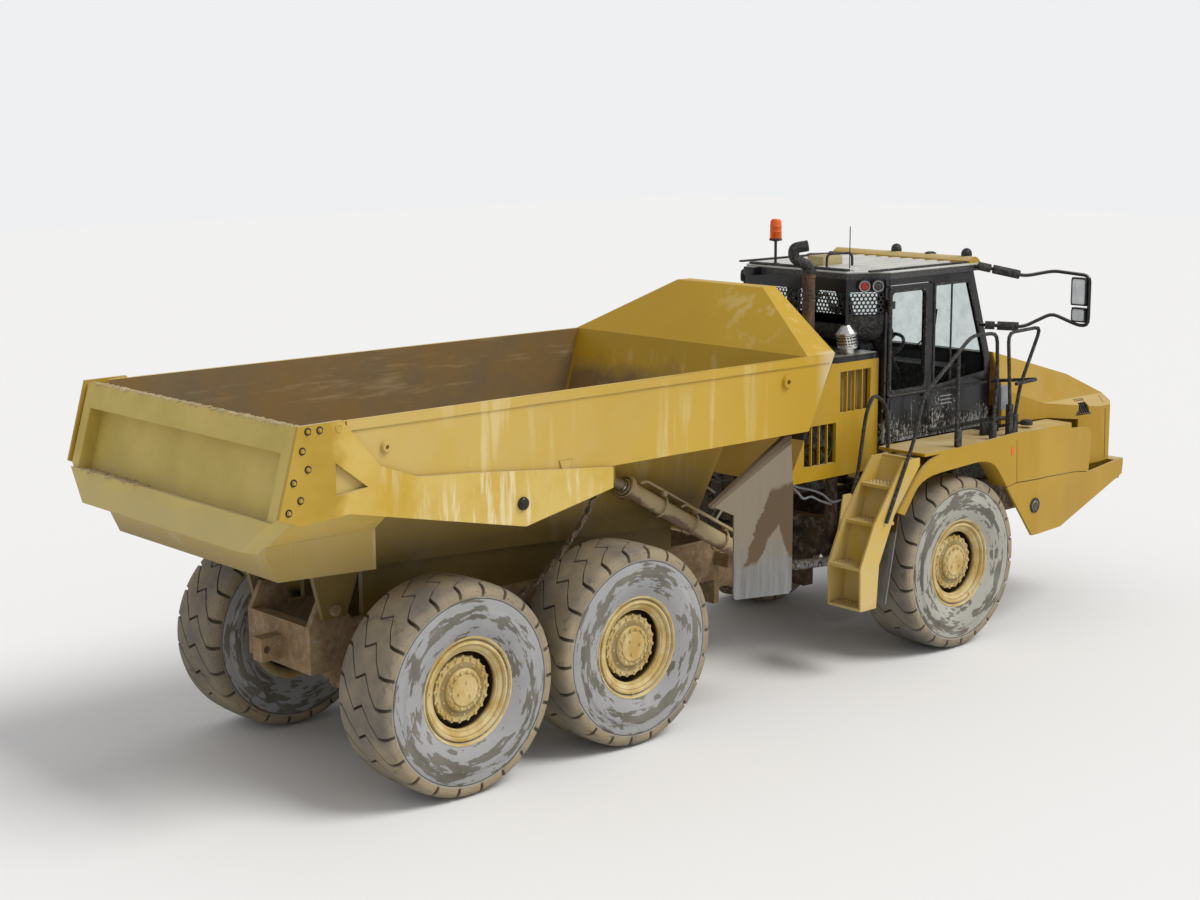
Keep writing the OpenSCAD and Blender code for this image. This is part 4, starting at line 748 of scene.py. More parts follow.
def bridge(bm, one, other):
    """Faces between two closed loops with the same number of points."""
    for i in range(len(one)):
        j = (i + 1) % len(one)
        bm.faces.new((one[i], one[j], other[j], other[i]))


def span(bm, one, other):
    """Faces between two open rows with the same number of points."""
    for i in range(len(one) - 1):
        bm.faces.new((one[i], one[i + 1], other[i + 1], other[i]))


def plate(bm, outline, axis, low, high):
    """A flat outline with a thickness along x, y or z. Its pairs are the two other axes, in order."""
    ends = [[bm.verts.new(placed(axis, a, b, c)) for a, b in outline] for c in (low, high)]
    bm.faces.new(ends[0])
    bm.faces.new(ends[1])
    bridge(bm, *ends)


def band(bm, outer, inner, axis, low, high):
    """A closed band between two outlines with the same number of points."""
    loops = [[bm.verts.new(placed(axis, a, b, c)) for a, b in outline]
             for outline, c in ((outer, low), (outer, high), (inner, high), (inner, low))]
    for one, other in zip(loops, loops[1:] + loops[:1]):
        bridge(bm, one, other)


def rounded(low, high, radius, steps=4):
    """A rectangle's outline with round corners."""
    corners = ((high[0] - radius, high[1] - radius, 0), (low[0] + radius, high[1] - radius, 90),
               (low[0] + radius, low[1] + radius, 180), (high[0] - radius, low[1] + radius, 270))
    return [(x + radius * math.cos(math.radians(start + 90 * k / steps)),
             y + radius * math.sin(math.radians(start + 90 * k / steps)))
            for x, y, start in corners for k in range(steps + 1)]


def opening(across, up, grow, radius):
    """A rounded rectangle between two pairs of values, grown by a margin or shrunk by a negative one."""
    return rounded((across[0] - grow, up[0] - grow), (across[1] + grow, up[1] + grow), radius)


def block(bm, low, high, corner=0.004):
    """A block whose edges are taken off."""
    size = Vector(high) - Vector(low)
    place = Matrix.Translation((Vector(low) + Vector(high)) / 2) @ Matrix.Diagonal((*size, 1.0))
    made = bmesh.ops.create_cube(bm, size=1.0, matrix=place)
    edges = list({edge for vert in made["verts"] for edge in vert.link_edges})
    bmesh.ops.bevel(bm, geom=edges, offset=min(corner, 0.4 * min(size)), segments=2, affect="EDGES",
                    profile=0.6)


def side_block(bm, side, xs, ys, zs, corner=0.004):
    """A block on one side of the tractor, with x from the front axle and y outwards."""
    (x_low, x_high), (y_low, y_high) = xs, two(*ys, side)
    block(bm, (FRONT_X + x_low, y_low, zs[0]), (FRONT_X + x_high, y_high, zs[1]), corner)


def pipe(bm, path, radius, sides=10):
    """A round pipe along points, closed at both ends."""
    points = [Vector(p) for p in path]
    along = (points[1] - points[0]).normalized()
    across = along.orthogonal().normalized()
    rings = []
    for i, point in enumerate(points):
        before = (point - points[max(i - 1, 0)]).normalized() if i else along
        after = (points[i + 1] - point).normalized() if i + 1 < len(points) else before
        mean = (before + after).normalized()
        across = (across - mean * across.dot(mean)).normalized()
        up = mean.cross(across)
        open_by = 1.0 / max(0.5, mean.dot(after)) if i else 1.0
        rings.append([bm.verts.new(point + radius * (math.cos(a) * across + math.sin(a) * up) * open_by)
                      for a in turns(sides)])
    for one, other in zip(rings, rings[1:]):
        bridge(bm, one, other)
    bm.faces.new(rings[0])
    bm.faces.new(rings[-1])


def bent(corners, bend=0.06, steps=4):
    """The points of a path whose inner corners are rounded."""
    points = [Vector(c) for c in corners]
    path = [points[0]]
    for a, b, c in zip(points, points[1:], points[2:]):
        reach = min(bend, 0.45 * (b - a).length, 0.45 * (c - b).length)
        start, end = b + (a - b).normalized() * reach, b + (c - b).normalized() * reach
        for k in range(steps + 1):
            t = k / steps
            path.append(start * (1 - t) ** 2 + b * 2 * t * (1 - t) + end * t ** 2)
    return path + [points[-1]]


def turned(bm, profile, place, axis, steps=32, loop=False):
    """A turned piece: (radius, along) pairs round an axis through a place."""
    axis, across, up = axes_of(axis)
    rings = []
    for radius, along in profile:
        centre = Vector(place) + axis * along
        if radius < 1e-5:
            rings.append([bm.verts.new(centre)])
        else:
            rings.append([bm.verts.new(centre + radius * (math.cos(a) * across + math.sin(a) * up))
                          for a in turns(steps)])
    pairs = list(zip(rings, rings[1:])) + ([(rings[-1], rings[0])] if loop else [])
    for one, other in pairs:
        for k in range(steps):
            n = (k + 1) % steps
            corners = (one[k % len(one)], one[n % len(one)], other[n % len(other)], other[k % len(other)])
            corners = list(dict.fromkeys(corners))
            if len(corners) > 2:
                bm.faces.new(corners)


# %% [markdown]
# ## Repeats with Geometry Nodes
# A bolt is the same bolt hundreds of times over, and a tyre is one slice of tread repeated round the
# hub. Geometry Nodes do both from few inputs. The small class below writes such a tree, and
# realised runs it on a mesh and returns plain faces, because instances don't leave Blender.

# %% Geometry Nodes helper
class Repeat:
    """A Geometry Nodes tree with named inputs that ends in real faces with one finish."""

    def __init__(self, name, **inputs):
        self.tree = bpy.data.node_groups.new(name, "GeometryNodeTree")
        self.tree.interface.new_socket("Geometry", in_out="INPUT", socket_type="NodeSocketGeometry")
        for label, (kind, value) in inputs.items():
            socket = self.tree.interface.new_socket(label, in_out="INPUT", socket_type="NodeSocket" + kind)
            if value is not None:
                socket.default_value = value
        self.tree.interface.new_socket("Geometry", in_out="OUTPUT", socket_type="NodeSocketGeometry")
        self.given = self.tree.nodes.new("NodeGroupInput").outputs

    def add(self, kind, links=None, out=0, **settings):
        """A node, its settings and its inputs. It returns one of its outputs."""
        node = self.tree.nodes.new(kind)
        for key, value in settings.items():
            setattr(node, key, value)
        for key, value in (links or {}).items():
            for one in value if isinstance(value, list) else [value]:
                if isinstance(one, bpy.types.NodeSocket):
                    self.tree.links.new(one, node.inputs[key])
                else:
                    node.inputs[key].default_value = one
        return node.outputs[out]

    def close(self, shape):
        real = self.add("GeometryNodeRealizeInstances", {"Geometry": shape})
        done = self.add("GeometryNodeSetMaterial", {"Geometry": real, "Material": self.given["Finish"]})
        self.tree.links.new(done, self.tree.nodes.new("NodeGroupOutput").inputs["Geometry"])


def realised(source, repeat, **inputs):
    """The plain mesh that a tree makes of a source mesh."""
    maker = bpy.data.objects.new("maker", source)
    bpy.context.scene.collection.objects.link(maker)
    modifier = maker.modifiers.new("repeat", "NODES")
    modifier.node_group = repeat.tree
    for item in repeat.tree.interface.items_tree:
        if item.item_type == "SOCKET" and item.in_out == "INPUT" and item.name in inputs:
            modifier[item.identifier] = inputs[item.name]
    graph = bpy.context.evaluated_depsgraph_get()
    mesh = bpy.data.meshes.new_from_object(maker.evaluated_get(graph))
    bpy.data.objects.remove(maker)
    return mesh


# One slice, copied round the Y axis
round_hub = Repeat("slices_round_hub", Count=("Int", 22), Finish=("Material", None))
slices = round_hub.add("GeometryNodePoints", {"Count": round_hub.given["Count"]})
step = round_hub.add("ShaderNodeMath", {0: 2 * math.pi, 1: round_hub.given["Count"]}, operation="DIVIDE")
number = round_hub.add("GeometryNodeInputIndex")
angle = round_hub.add("ShaderNodeMath", {0: number, 1: step}, operation="MULTIPLY")
turn = round_hub.add("ShaderNodeCombineXYZ", {"Y": angle})
round_hub.close(round_hub.add("GeometryNodeInstanceOnPoints",
                              {"Points": slices, "Instance": round_hub.given["Geometry"], "Rotation": turn}))

# A bolt with its washer on each point, along the point's own direction
on_points = Repeat("bolts_on_points", Sides=("Int", 6), Finish=("Material", None))
head = on_points.add("GeometryNodeMeshCylinder",
                     {"Vertices": on_points.given["Sides"], "Radius": 1.0, "Depth": 1.5})
washer = on_points.add("GeometryNodeMeshCylinder", {"Vertices": 12, "Radius": 1.35, "Depth": 0.5})
raised = on_points.add("GeometryNodeTransform", {"Geometry": head, "Translation": (0.0, 0.0, 0.5)})
bolt_shape = on_points.add("GeometryNodeJoinGeometry", {"Geometry": [raised, washer]})
facing = on_points.add("GeometryNodeInputNamedAttribute", {"Name": "facing"}, data_type="FLOAT_VECTOR")
size = on_points.add("GeometryNodeInputNamedAttribute", {"Name": "size"}, data_type="FLOAT")
aligned = on_points.add("FunctionNodeAlignRotationToVector", {"Vector": facing}, axis="Z")
on_points.close(on_points.add("GeometryNodeInstanceOnPoints",
                              {"Points": on_points.given["Geometry"], "Instance": bolt_shape,
                               "Rotation": aligned, "Scale": size}))

# Lumps of dried soil, scattered on strips
soil = Repeat("lumps_on_strips", Density=("Float", 400.0), Seed=("Int", 3), Size=("Float", 0.02),
              Finish=("Material", None))
spots = soil.add("GeometryNodeDistributePointsOnFaces",
                 {"Mesh": soil.given["Geometry"], "Density": soil.given["Density"],
                  "Seed": soil.given["Seed"]})
lump = soil.add("GeometryNodeMeshIcoSphere", {"Radius": soil.given["Size"], "Subdivisions": 2})
stretch = soil.add("FunctionNodeRandomValue", {"Min": (0.5, 0.4, 0.25), "Max": (2.2, 1.3, 0.7), "Seed": 5},
                   data_type="FLOAT_VECTOR")
spin = soil.add("FunctionNodeRandomValue", {"Min": (-0.3, -0.3, 0.0), "Max": (0.3, 0.3, 6.28), "Seed": 6},
                data_type="FLOAT_VECTOR")
soil.close(soil.add("GeometryNodeInstanceOnPoints",
                    {"Points": spots, "Instance": lump, "Rotation": spin, "Scale": stretch}))
print("node trees", [group.name for group in bpy.data.node_groups])

# %% [markdown]
# ## Bolts
# Bolts are placed as bare points first. Each point keeps the way its bolt faces and the bolt's
# radius, and one tree then makes all the bolts of a body at once.

# %% Bolt rows
def bolt_mesh(rows, finish, sides=6):
    """A mesh of bolts from (place, facing, radius) rows."""
    points = bpy.data.meshes.new("bolt_points")
    points.from_pydata([tuple(row[0]) for row in rows], [], [])
    points.attributes.new("facing", "FLOAT_VECTOR", "POINT")
    points.attributes.new("size", "FLOAT", "POINT")
    facing_layer, size_layer = points.attributes["facing"], points.attributes["size"]
    for i, (_, direction, radius) in enumerate(rows):
        facing_layer.data[i].vector = direction
        size_layer.data[i].value = radius
    return realised(points, on_points, Sides=sides, Finish=finish)


def bolt_ring(place, facing, ring_radius, count, radius, first=0.0):
    """Rows for bolts on a circle round an axis."""
    axis, across, up = axes_of(facing)
    return [(Vector(place) + ring_radius * (math.cos(a) * across + math.sin(a) * up), axis, radius)
            for a in (first + angle for angle in turns(count))]


print("bolt helper ready")

# %% [markdown]
# ## Tyres
# A wide tyre has big blocks, and each thin groove between two of them runs across the whole width in
# a stepped zigzag, so that the two shoulders are staggered. One slice is a grid: its rows follow
# the outline from bead to bead, and its columns go from one groove to the next. The groove's
# zigzag shifts each row round the hub. Twenty-two slices close the ring.

# %% Tyre slice
TYRE_Y = abs(middle("tyre_front_right").y)
SLICES = 22
# (out from the middle plane, radius): the side, from the bead to the shoulder
SIDE_ROWS = ((0.225, 0.380), (0.240, 0.392), (0.247, 0.405), (0.2515, 0.420), (0.264, 0.440),
             (0.284, 0.490), (0.2945, 0.545), (0.2975, 0.585), (0.2965, 0.596), (0.2905, 0.603),
             (0.2885, 0.640), (0.285, 0.675), (0.2815, 0.687), (0.2800, 0.692), (0.2835, 0.699))
BLOCK_ROWS = ((0.285, 0.718), (0.283, 0.742), (0.275, 0.762), (0.260, 0.777), (0.235, 0.7875),
              (0.20, 0.7940), (0.13, 0.7980), (0.05, 0.7995))
GROOVE_ROWS = ((0.281, 0.716), (0.276, 0.733), (0.267, 0.747), (0.253, 0.757), (0.231, 0.764),
               (0.20, 0.768), (0.13, 0.772), (0.05, 0.773))
# (out from the middle plane, slices that the groove is shifted there)
ZIGZAG = ((-0.24, 1.78), (-0.19, 1.72), (-0.05, 0.78), (0.05, 1.0), (0.19, 0.06), (0.24, 0.0))
GROOVE_SHARE, SHOULDER_SHARE, WALL_SHARE = 0.024, 0.045, 0.030
# How far the side's pattern moves on from ring to ring, and from wheel to wheel
RING_STRETCH, WHEEL_STEP = 7.0, 3.7
# How far each wheel is turned round its axle, in radians, and how much more on the left
WHEEL_ROLL = {"front": 0.4, "mid": 1.7, "rear": 2.6}
LEFT_ROLL = 0.9


def shifted(out):
    """How far round the groove is at a distance from the middle plane."""
    if out <= ZIGZAG[0][0]:
        return ZIGZAG[0][1]
    for (a, low), (b, high) in zip(ZIGZAG, ZIGZAG[1:]):
        if out <= b:
            return low + (high - low) * (out - a) / (b - a)
    return ZIGZAG[-1][1]


def tyre_slice():
    """One slice round the Y axis, outer side towards -Y, with its ring and depth values."""
    half = [(row, row) for row in SIDE_ROWS] + list(zip(BLOCK_ROWS, GROOVE_ROWS))
    rows = [(1, *row) for row in half] + [(-1, *row) for row in reversed(half)]
    verts, rings, depths = [], [], []
    for sign, top, bottom in rows:
        out = sign * top[0]
        wide = min(1.0, max(0.0, (abs(out) - 0.19) / 0.07))
        groove = GROOVE_SHARE + (SHOULDER_SHARE - GROOVE_SHARE) * wide
        wall = groove + WALL_SHARE
        steps = ((0, 1), (groove, 1), (wall, 0), (0.32, 0), (0.5, 0), (0.68, 0),
                 (1 - wall, 0), (1 - groove, 1), (1, 1))
        for u, deep in steps:
            offset, radius = bottom if deep else top
            a = (shifted(out) + u) * 2 * math.pi / SLICES
            verts.append((-radius * math.cos(a), -sign * offset, radius * math.sin(a)))
            rings.append(radius)
            depths.append(deep if top != bottom else 0)
    columns = len(steps)
    faces = []
    for r in range(len(rows)):
        s = (r + 1) % len(rows)
        for c in range(columns - 1):
            faces.append((r * columns + c, r * columns + c + 1, s * columns + c + 1, s * columns + c))
    mesh = bpy.data.meshes.new("tyre_slice")
    mesh.from_pydata(verts, [], faces)
    for name, values in (("ring", rings), ("depth", depths)):
        layer = mesh.attributes.new(name, "FLOAT", "POINT")
        layer.data.foreach_set("value", values)
    return mesh


def whole_tyre(finish, number):
    """The slices round the hub, joined where they meet. Each point keeps its place round the ring."""
    bm = bmesh.new()
    bm.from_mesh(realised(tyre_slice(), round_hub, Count=SLICES, Finish=finish))
    bmesh.ops.remove_doubles(bm, verts=bm.verts[:], dist=0.0004)
    around = bm.verts.layers.float_vector.new("around")
    for vert in bm.verts:
        radius = math.hypot(vert.co.x, vert.co.z)
        vert[around] = (vert.co.x / radius, vert.co.z / radius, radius * RING_STRETCH + WHEEL_STEP * number)
    return bm


def wheel_places():
    """(end, side, place and turn) of the six wheels. The left ones are turned round to face out."""
    for end, x in (("front", FRONT_X), ("mid", MID_X), ("rear", REAR_X)):
        for side, sign in SIDES.items():
            roll = Matrix.Rotation(WHEEL_ROLL[end] + LEFT_ROLL * (sign > 0), 4, "Y")
            face = Matrix.Rotation(math.pi if sign > 0 else 0.0, 4, "Z")
            yield end, side, Matrix.Translation((x, sign * TYRE_Y, HUB_Z)) @ face @ roll


# %% Tyres
for number, (end, side, place) in enumerate(wheel_places()):
    rubber = tyre_front if end == "front" else tyre_rear
    bm = whole_tyre(rubber, number)
    bmesh.ops.transform(bm, matrix=place, verts=bm.verts[:])
    tyre = hand_in(f"road_tyre_{end}_{side}", bm, rubber, f"wheel_{end}_{side}", (f"tyre_{end}_{side}",))
print("triangles a tyre", sum(len(p.vertices) - 2 for p in tyre.data.polygons))

# %% [markdown]
# ## Rims and hubs
# The rim is a turned ring with a flange, a lock ring and grooves between them. Deep inside sits the
# planetary hub: a disc with a ring of bolts and bosses, and a smaller cap bolted on it. All of it
# is round, so it is turned from two outlines, and the bolts come from their tree.

# %% Rims
# (radius, out from the middle plane), once round the rim's section
RIM_SECTION = ((0.407, 0.236), (0.411, 0.244), (0.406, 0.252), (0.396, 0.250), (0.388, 0.234),
               (0.380, 0.226), (0.373, 0.229), (0.369, 0.244), (0.353, 0.246), (0.348, 0.234),
               (0.340, 0.228), (0.334, 0.221), (0.313, 0.216), (0.305, 0.208), (0.293, 0.205),
               (0.288, 0.192), (0.298, 0.150), (0.318, 0.060), (0.318, -0.240), (0.400, -0.250),
               (0.404, -0.238), (0.345, -0.225), (0.345, 0.190), (0.376, 0.218))
HUB_SECTION = ((0.0, 0.020), (0.320, 0.020), (0.320, 0.052), (0.246, 0.056), (0.246, 0.158), (0.241, 0.168),
               (0.206, 0.171), (0.200, 0.176), (0.163, 0.180), (0.158, 0.192), (0.149, 0.202),
               (0.121, 0.2035), (0.115, 0.2095), (0.020, 0.2115), (0.0, 0.2115))
# (out from the middle plane, radius of the ring, bolts, radius of a bolt, first angle)
HUB_BOLTS = ((0.1735, 0.226, 20, 0.009, 0.157), (0.173, 0.187, 10, 0.008, 0.3),
             (0.2025, 0.137, 14, 0.0105, 0.0), (0.213, 0.062, 3, 0.009, 0.0))
# (from radius, to radius, less far out than, how dark)
SHADED = ((0.377, 0.384, 0.23, 0.75), (0.336, 0.344, 0.235, 0.60), (0.303, 0.308, 0.22, 0.35),
          (0.235, 0.330, 0.155, 1.0), (0.290, 0.318, 0.10, 1.0), (0.198, 0.202, 0.18, 0.5),
          (0.160, 0.166, 0.185, 0.6), (0.118, 0.124, 0.2045, 0.45))
BOSSES, BOSS_RING = 20, 0.2405
# (x, z) of the valve's stem
VALVE = (0.352 * 0.77, -0.352 * 0.64)


def whole_rim():
    """A rim with its hub, outer side towards -Y."""
    bm = bmesh.new()
    out = (0, -1, 0)
    turned(bm, RIM_SECTION, (0, 0, 0), out, steps=72, loop=True)
    turned(bm, HUB_SECTION, (0, 0, 0), out, steps=48)
    for a in turns(BOSSES):
        turned(bm, ((0.0, 0.10), (0.015, 0.10), (0.015, 0.168), (0.012, 0.171), (0.0, 0.171)),
               (BOSS_RING * math.cos(a), 0, BOSS_RING * math.sin(a)), out, steps=8)
    rows = []
    for depth, ring, count, radius, first in HUB_BOLTS:
        rows += bolt_ring((0, -depth, 0), out, ring, count, radius, first)
    bm.from_mesh(bolt_mesh(rows, rim_paint))
    # Valve stem in its notch, and the lock ring's gap
    valve_x, valve_z = VALVE
    pipe(bm, ((valve_x, -0.20, valve_z), (valve_x, -0.262, valve_z)), 0.008, 8)
    block(bm, (0.355, -0.252, -0.012), (0.372, -0.225, 0.012), 0.002)
    # Grooves and the hollow round the hub, which the finish darkens
    shade = bm.verts.layers.float.new("shade")
    for vert in bm.verts:
        radius, far_out = math.hypot(vert.co.x, vert.co.z), -vert.co.y
        for low, high, depth, amount in SHADED:
            if low < radius < high and far_out < depth:
                vert[shade] = amount
    return bm


for end, side, place in wheel_places():
    bm = whole_rim()
    bmesh.ops.transform(bm, matrix=place, verts=bm.verts[:])
    rim = hand_in(f"road_rim_{end}_{side}", bm, rim_paint, f"wheel_{end}_{side}", (f"rim_{end}_{side}",))
print("triangles a rim", sum(len(p.vertices) - 2 for p in rim.data.polygons))

# %% [markdown]
# ## Doors
# A cab door is a pressed frame with a long window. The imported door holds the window's pane in the
# same solid, so these doors stand for it: a plate with its window left open, a rubber seal round
# the opening, clear glass behind it, hinge knuckles, and a latch under the window's front corner.

# %% Doors
DOOR_X = (FRONT_X - 0.432, FRONT_X + 0.172)
DOOR_Z = (1.948, 3.332)
DOOR_SKIN, DOOR_INNER = 0.860, 0.822
WINDOW_X = (DOOR_X[0] + 0.030, DOOR_X[1] - 0.072)
WINDOW_Z = (2.362, 3.285)
for name, side in SIDES.items():
    bm = bmesh.new()
    skin = rounded((DOOR_X[0], DOOR_Z[0]), (DOOR_X[1], DOOR_Z[1]), 0.03)
    band(bm, skin, opening(WINDOW_X, WINDOW_Z, 0.0, 0.05), "y", *two(DOOR_SKIN, DOOR_INNER, side))
    # Pressed edge of the lower panel, the ledge over it, and the knuckles
    band(bm, rounded((DOOR_X[0] + 0.03, 1.985), (DOOR_X[1] - 0.03, 2.31), 0.04),
         rounded((DOOR_X[0] + 0.045, 2.0), (DOOR_X[1] - 0.045, 2.295), 0.03), "y",
         *two(DOOR_SKIN - 0.002, DOOR_SKIN + 0.005, side))
    y_low, y_high = two(0.855, 0.880, side)
    block(bm, (DOOR_X[0] + 0.005, y_low, 2.318), (DOOR_X[1] - 0.005, y_high, 2.338), 0.006)
    for z in (2.12, 3.12):
        turned(bm, ((0.0, 0.0), (0.015, 0.0), (0.015, 0.09), (0.0, 0.09)),
               (FRONT_X - 0.452, side * 0.872, z), UP, 12)
        side_block(bm, side, (-0.445, -0.36), (0.858, 0.874), (z + 0.01, z + 0.08))
    hand_in(f"door_frame_{name}", bm, black, f"door_{name}", (f"door_{name}",))
    # Seal round the window, and the latch
    bm = bmesh.new()
    band(bm, opening(WINDOW_X, WINDOW_Z, 0.010, 0.055), opening(WINDOW_X, WINDOW_Z, -0.012, 0.04),
         "y", *two(DOOR_SKIN + 0.006, DOOR_INNER - 0.004, side))
    y_low, y_high = two(0.862, 0.892, side)
    block(bm, (DOOR_X[1] - 0.115, y_low, 2.285), (DOOR_X[1] - 0.03, y_high, 2.312), 0.006)
    hand_in(f"door_seal_{name}", bm, trim, f"door_{name}")
    bm = bmesh.new()
    plate(bm, opening(WINDOW_X, WINDOW_Z, -0.002, 0.05), "y", *two(0.838, 0.844, side))
    hand_in(f"door_glass_{name}", bm, glass, f"door_{name}")
print("doors made")

# %% [markdown]
# ## Cab trim
# Close up, a cab is bars, seals and ledges. The front side window has a rubber seal and a thin
# slide bar, a ledge runs under the windows, and grab bars, vents and a wiper finish the walls.

# %% Cab trim
FRONT_WINDOW = ((0.230, 2.350), (1.020, 2.420), (1.010, 2.560), (0.730, 3.310), (0.230, 3.310))


def grown(outline, by):
    """An outline moved outwards by a distance, or inwards by a negative one."""
    area = sum(a[0] * b[1] - b[0] * a[1] for a, b in zip(outline, outline[1:] + outline[:1]))
    by = by if area > 0 else -by
    result = []
    for i, point in enumerate(outline):
        p = Vector(point)
        a, b = Vector(outline[i - 1]), Vector(outline[(i + 1) % len(outline)])
        n1 = Vector(((p - a).y, -(p - a).x)).normalized()
        n2 = Vector(((b - p).y, -(b - p).x)).normalized()
        result.append(tuple(p + (n1 + n2) * (by / (1.0 + n1.dot(n2)))))
    return result


CAP_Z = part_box("fenders")[1][2] - 0.002
bm, pale = bmesh.new(), bmesh.new()
for side in SIDES.values():
    window = [(FRONT_X + x, z) for x, z in FRONT_WINDOW]
    band(bm, grown(window, 0.012), grown(window, -0.014), "y", *two(0.846, 0.858, side))
    # Slide bar of the window, the ledge, the lower sill and the vents' slats
    side_block(bm, side, (0.485, 0.500), (0.835, 0.850), (2.39, 3.30))
    side_block(bm, side, (0.19, 1.04), (0.848, 0.868), (2.306, 2.330), 0.006)
    side_block(bm, side, (0.19, 1.08), (0.848, 0.862), (1.93, 1.965), 0.005)
    for z in (2.175, 2.211, 2.247):
        side_block(pale, side, (0.34, 0.51), (0.846, 0.855), (z, z + 0.010), 0.003)
    # Bar across the deck, with a small plate on its post, and the clutter at the rail's feet
    pipe(bm, bent(route(((1.06, 0.90, 2.33), (1.14, 1.38, 2.39), (0.76, 1.405, 2.385)), side), 0.07), 0.017)
    side_block(pale, side, (0.86, 1.00), (1.12, 1.17), (2.10, 2.325), 0.008)
    pipe(bm, route(((0.83, 1.15, 1.902), (0.83, 1.15, 2.34)), side), 0.020)
    loose = ((0.60, 1.25, 1.93), (0.72, 1.20, 2.04), (0.92, 1.20, 2.02), (1.02, 1.14, 1.93))
    pipe(bm, bent(route(loose, side), 0.05), 0.020)
    turned(bm, ((0.0, 0.0), (0.060, 0.0), (0.060, 0.03), (0.045, 0.045), (0.0, 0.05)),
           (FRONT_X + 1.20, side * 1.22, CAP_Z), UP, 20)
    # Grab bar behind the door, and its feet
    grab = ((-0.468, 0.852, 2.46), (-0.470, 0.905, 2.46), (-0.470, 0.905, 3.34), (-0.468, 0.852, 3.34))
    pipe(bm, bent(route(grab, side), 0.03), 0.014)
    # Black brackets at the feet of the front rail, and the foot of the rail's middle post
    for x, top in ((0.455, 2.05), (0.70, 2.20), (0.78, 2.10)):
        side_block(bm, side, (x - 0.03, x + 0.03), (1.36, 1.41), (1.905, top), 0.008)
    side_block(bm, side, (0.52, 0.66), (1.18, 1.22), (1.905, 2.02), 0.01)
    side_block(bm, side, (-0.135, -0.065), (1.396, 1.436), (1.903, 2.06), 0.008)
# Wiper on the windscreen
pipe(bm, route(((1.06, 0.05, 2.56), (1.035, -0.22, 2.78), (0.965, -0.30, 2.98))), 0.008, 8)
hand_in("cab_trim", bm, trim, "tractor")
hand_in("cab_plates", pale, pale_plate, "tractor")

# %% [markdown]
# ## Steering wheel and lever
# Through the glass one sees a steering wheel on its column and a lever beside the seat. The seat
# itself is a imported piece.

# %% Inside the cab
bm = bmesh.new()
wheel_axis = Vector((-0.55, 0.0, 0.83)).normalized()
hub = Vector((FRONT_X + 0.36, 0.0, 2.72))
rim_loop = [(0.205 + 0.014 * math.cos(a), 0.014 * math.sin(a)) for a in turns(8)]
turned(bm, rim_loop, hub, wheel_axis, 32, loop=True)
turned(bm, ((0.0, -0.03), (0.045, -0.03), (0.045, 0.015), (0.0, 0.02)), hub, wheel_axis, 16)
across = Vector((0, 1, 0))
for a in (0.0, 2.1, 4.2):
    spoke = (math.cos(a) * across + math.sin(a) * wheel_axis.cross(across)) * 0.2
    pipe(bm, (hub, hub + spoke), 0.010, 8)
pipe(bm, (hub, hub - wheel_axis * 0.45), 0.028, 12)
pipe(bm, bent(route(((0.02, -0.34, 2.35), (0.05, -0.36, 2.62), (0.07, -0.36, 2.68))), 0.04), 0.011, 8)
turned(bm, ((0.0, 0.0), (0.022, 0.01), (0.026, 0.035), (0.0, 0.06)), (FRONT_X + 0.07, -0.36, 2.66), UP, 12)
hand_in("steering_wheel", bm, trim, "tractor")
print("cab trim and controls made")

# %% [markdown]
# ## Roof, visor and beacon
# The roof is a silver ribbed sheet in a dark frame. A yellow visor curves across its front edge and
# carries two black domes and a flat cap. At the rear stand the beacon, an aerial, a small tan box and a grip.

# %% Roof pieces
VISOR_LOW, VISOR_HIGH = (Vector(corner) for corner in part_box("roof_visor"))
# (radius, below the top) of the beacon's lens
BEACON_LENS = ((0.0, 0.18), (0.052, 0.18), (0.056, 0.16), (0.054, 0.125), (0.057, 0.12), (0.054, 0.115),
               (0.054, 0.075), (0.057, 0.07), (0.054, 0.065), (0.050, 0.02), (0.036, 0.002), (0.0, 0.0))

# (x, y) of the domes and of the flat cap on the visor
DOMES = ((FRONT_X + 0.845, -0.73), (FRONT_X + 0.845, 0.12))
FLAT_CAP = (FRONT_X + 0.845, -0.30)
bm = bmesh.new()
rear_x, base = VISOR_LOW.x - 0.06, VISOR_LOW.z
visor = [(rear_x + (VISOR_HIGH.x - rear_x) * k / 10,
          base + 0.060 * math.sin(math.pi * (0.12 + 0.80 * k / 10))) for k in range(11)]
plate(bm, [(rear_x, base)] + visor + [(VISOR_HIGH.x, base)], "y", VISOR_LOW.y, VISOR_HIGH.y)
hand_in("visor", bm, paint, "tractor", ("roof_visor",))
bm = bmesh.new()
for dome in DOMES:
    turned(bm, ((0.0, 0.0), (0.050, 0.0), (0.052, 0.03), (0.048, 0.055), (0.034, 0.075), (0.014, 0.085),
                (0.0, 0.087)), (*dome, base + 0.045), UP, 20)
turned(bm, ((0.0, 0.0), (0.055, 0.0), (0.055, 0.018), (0.03, 0.028), (0.0, 0.028)),
       (*FLAT_CAP, base + 0.048), UP, 20)
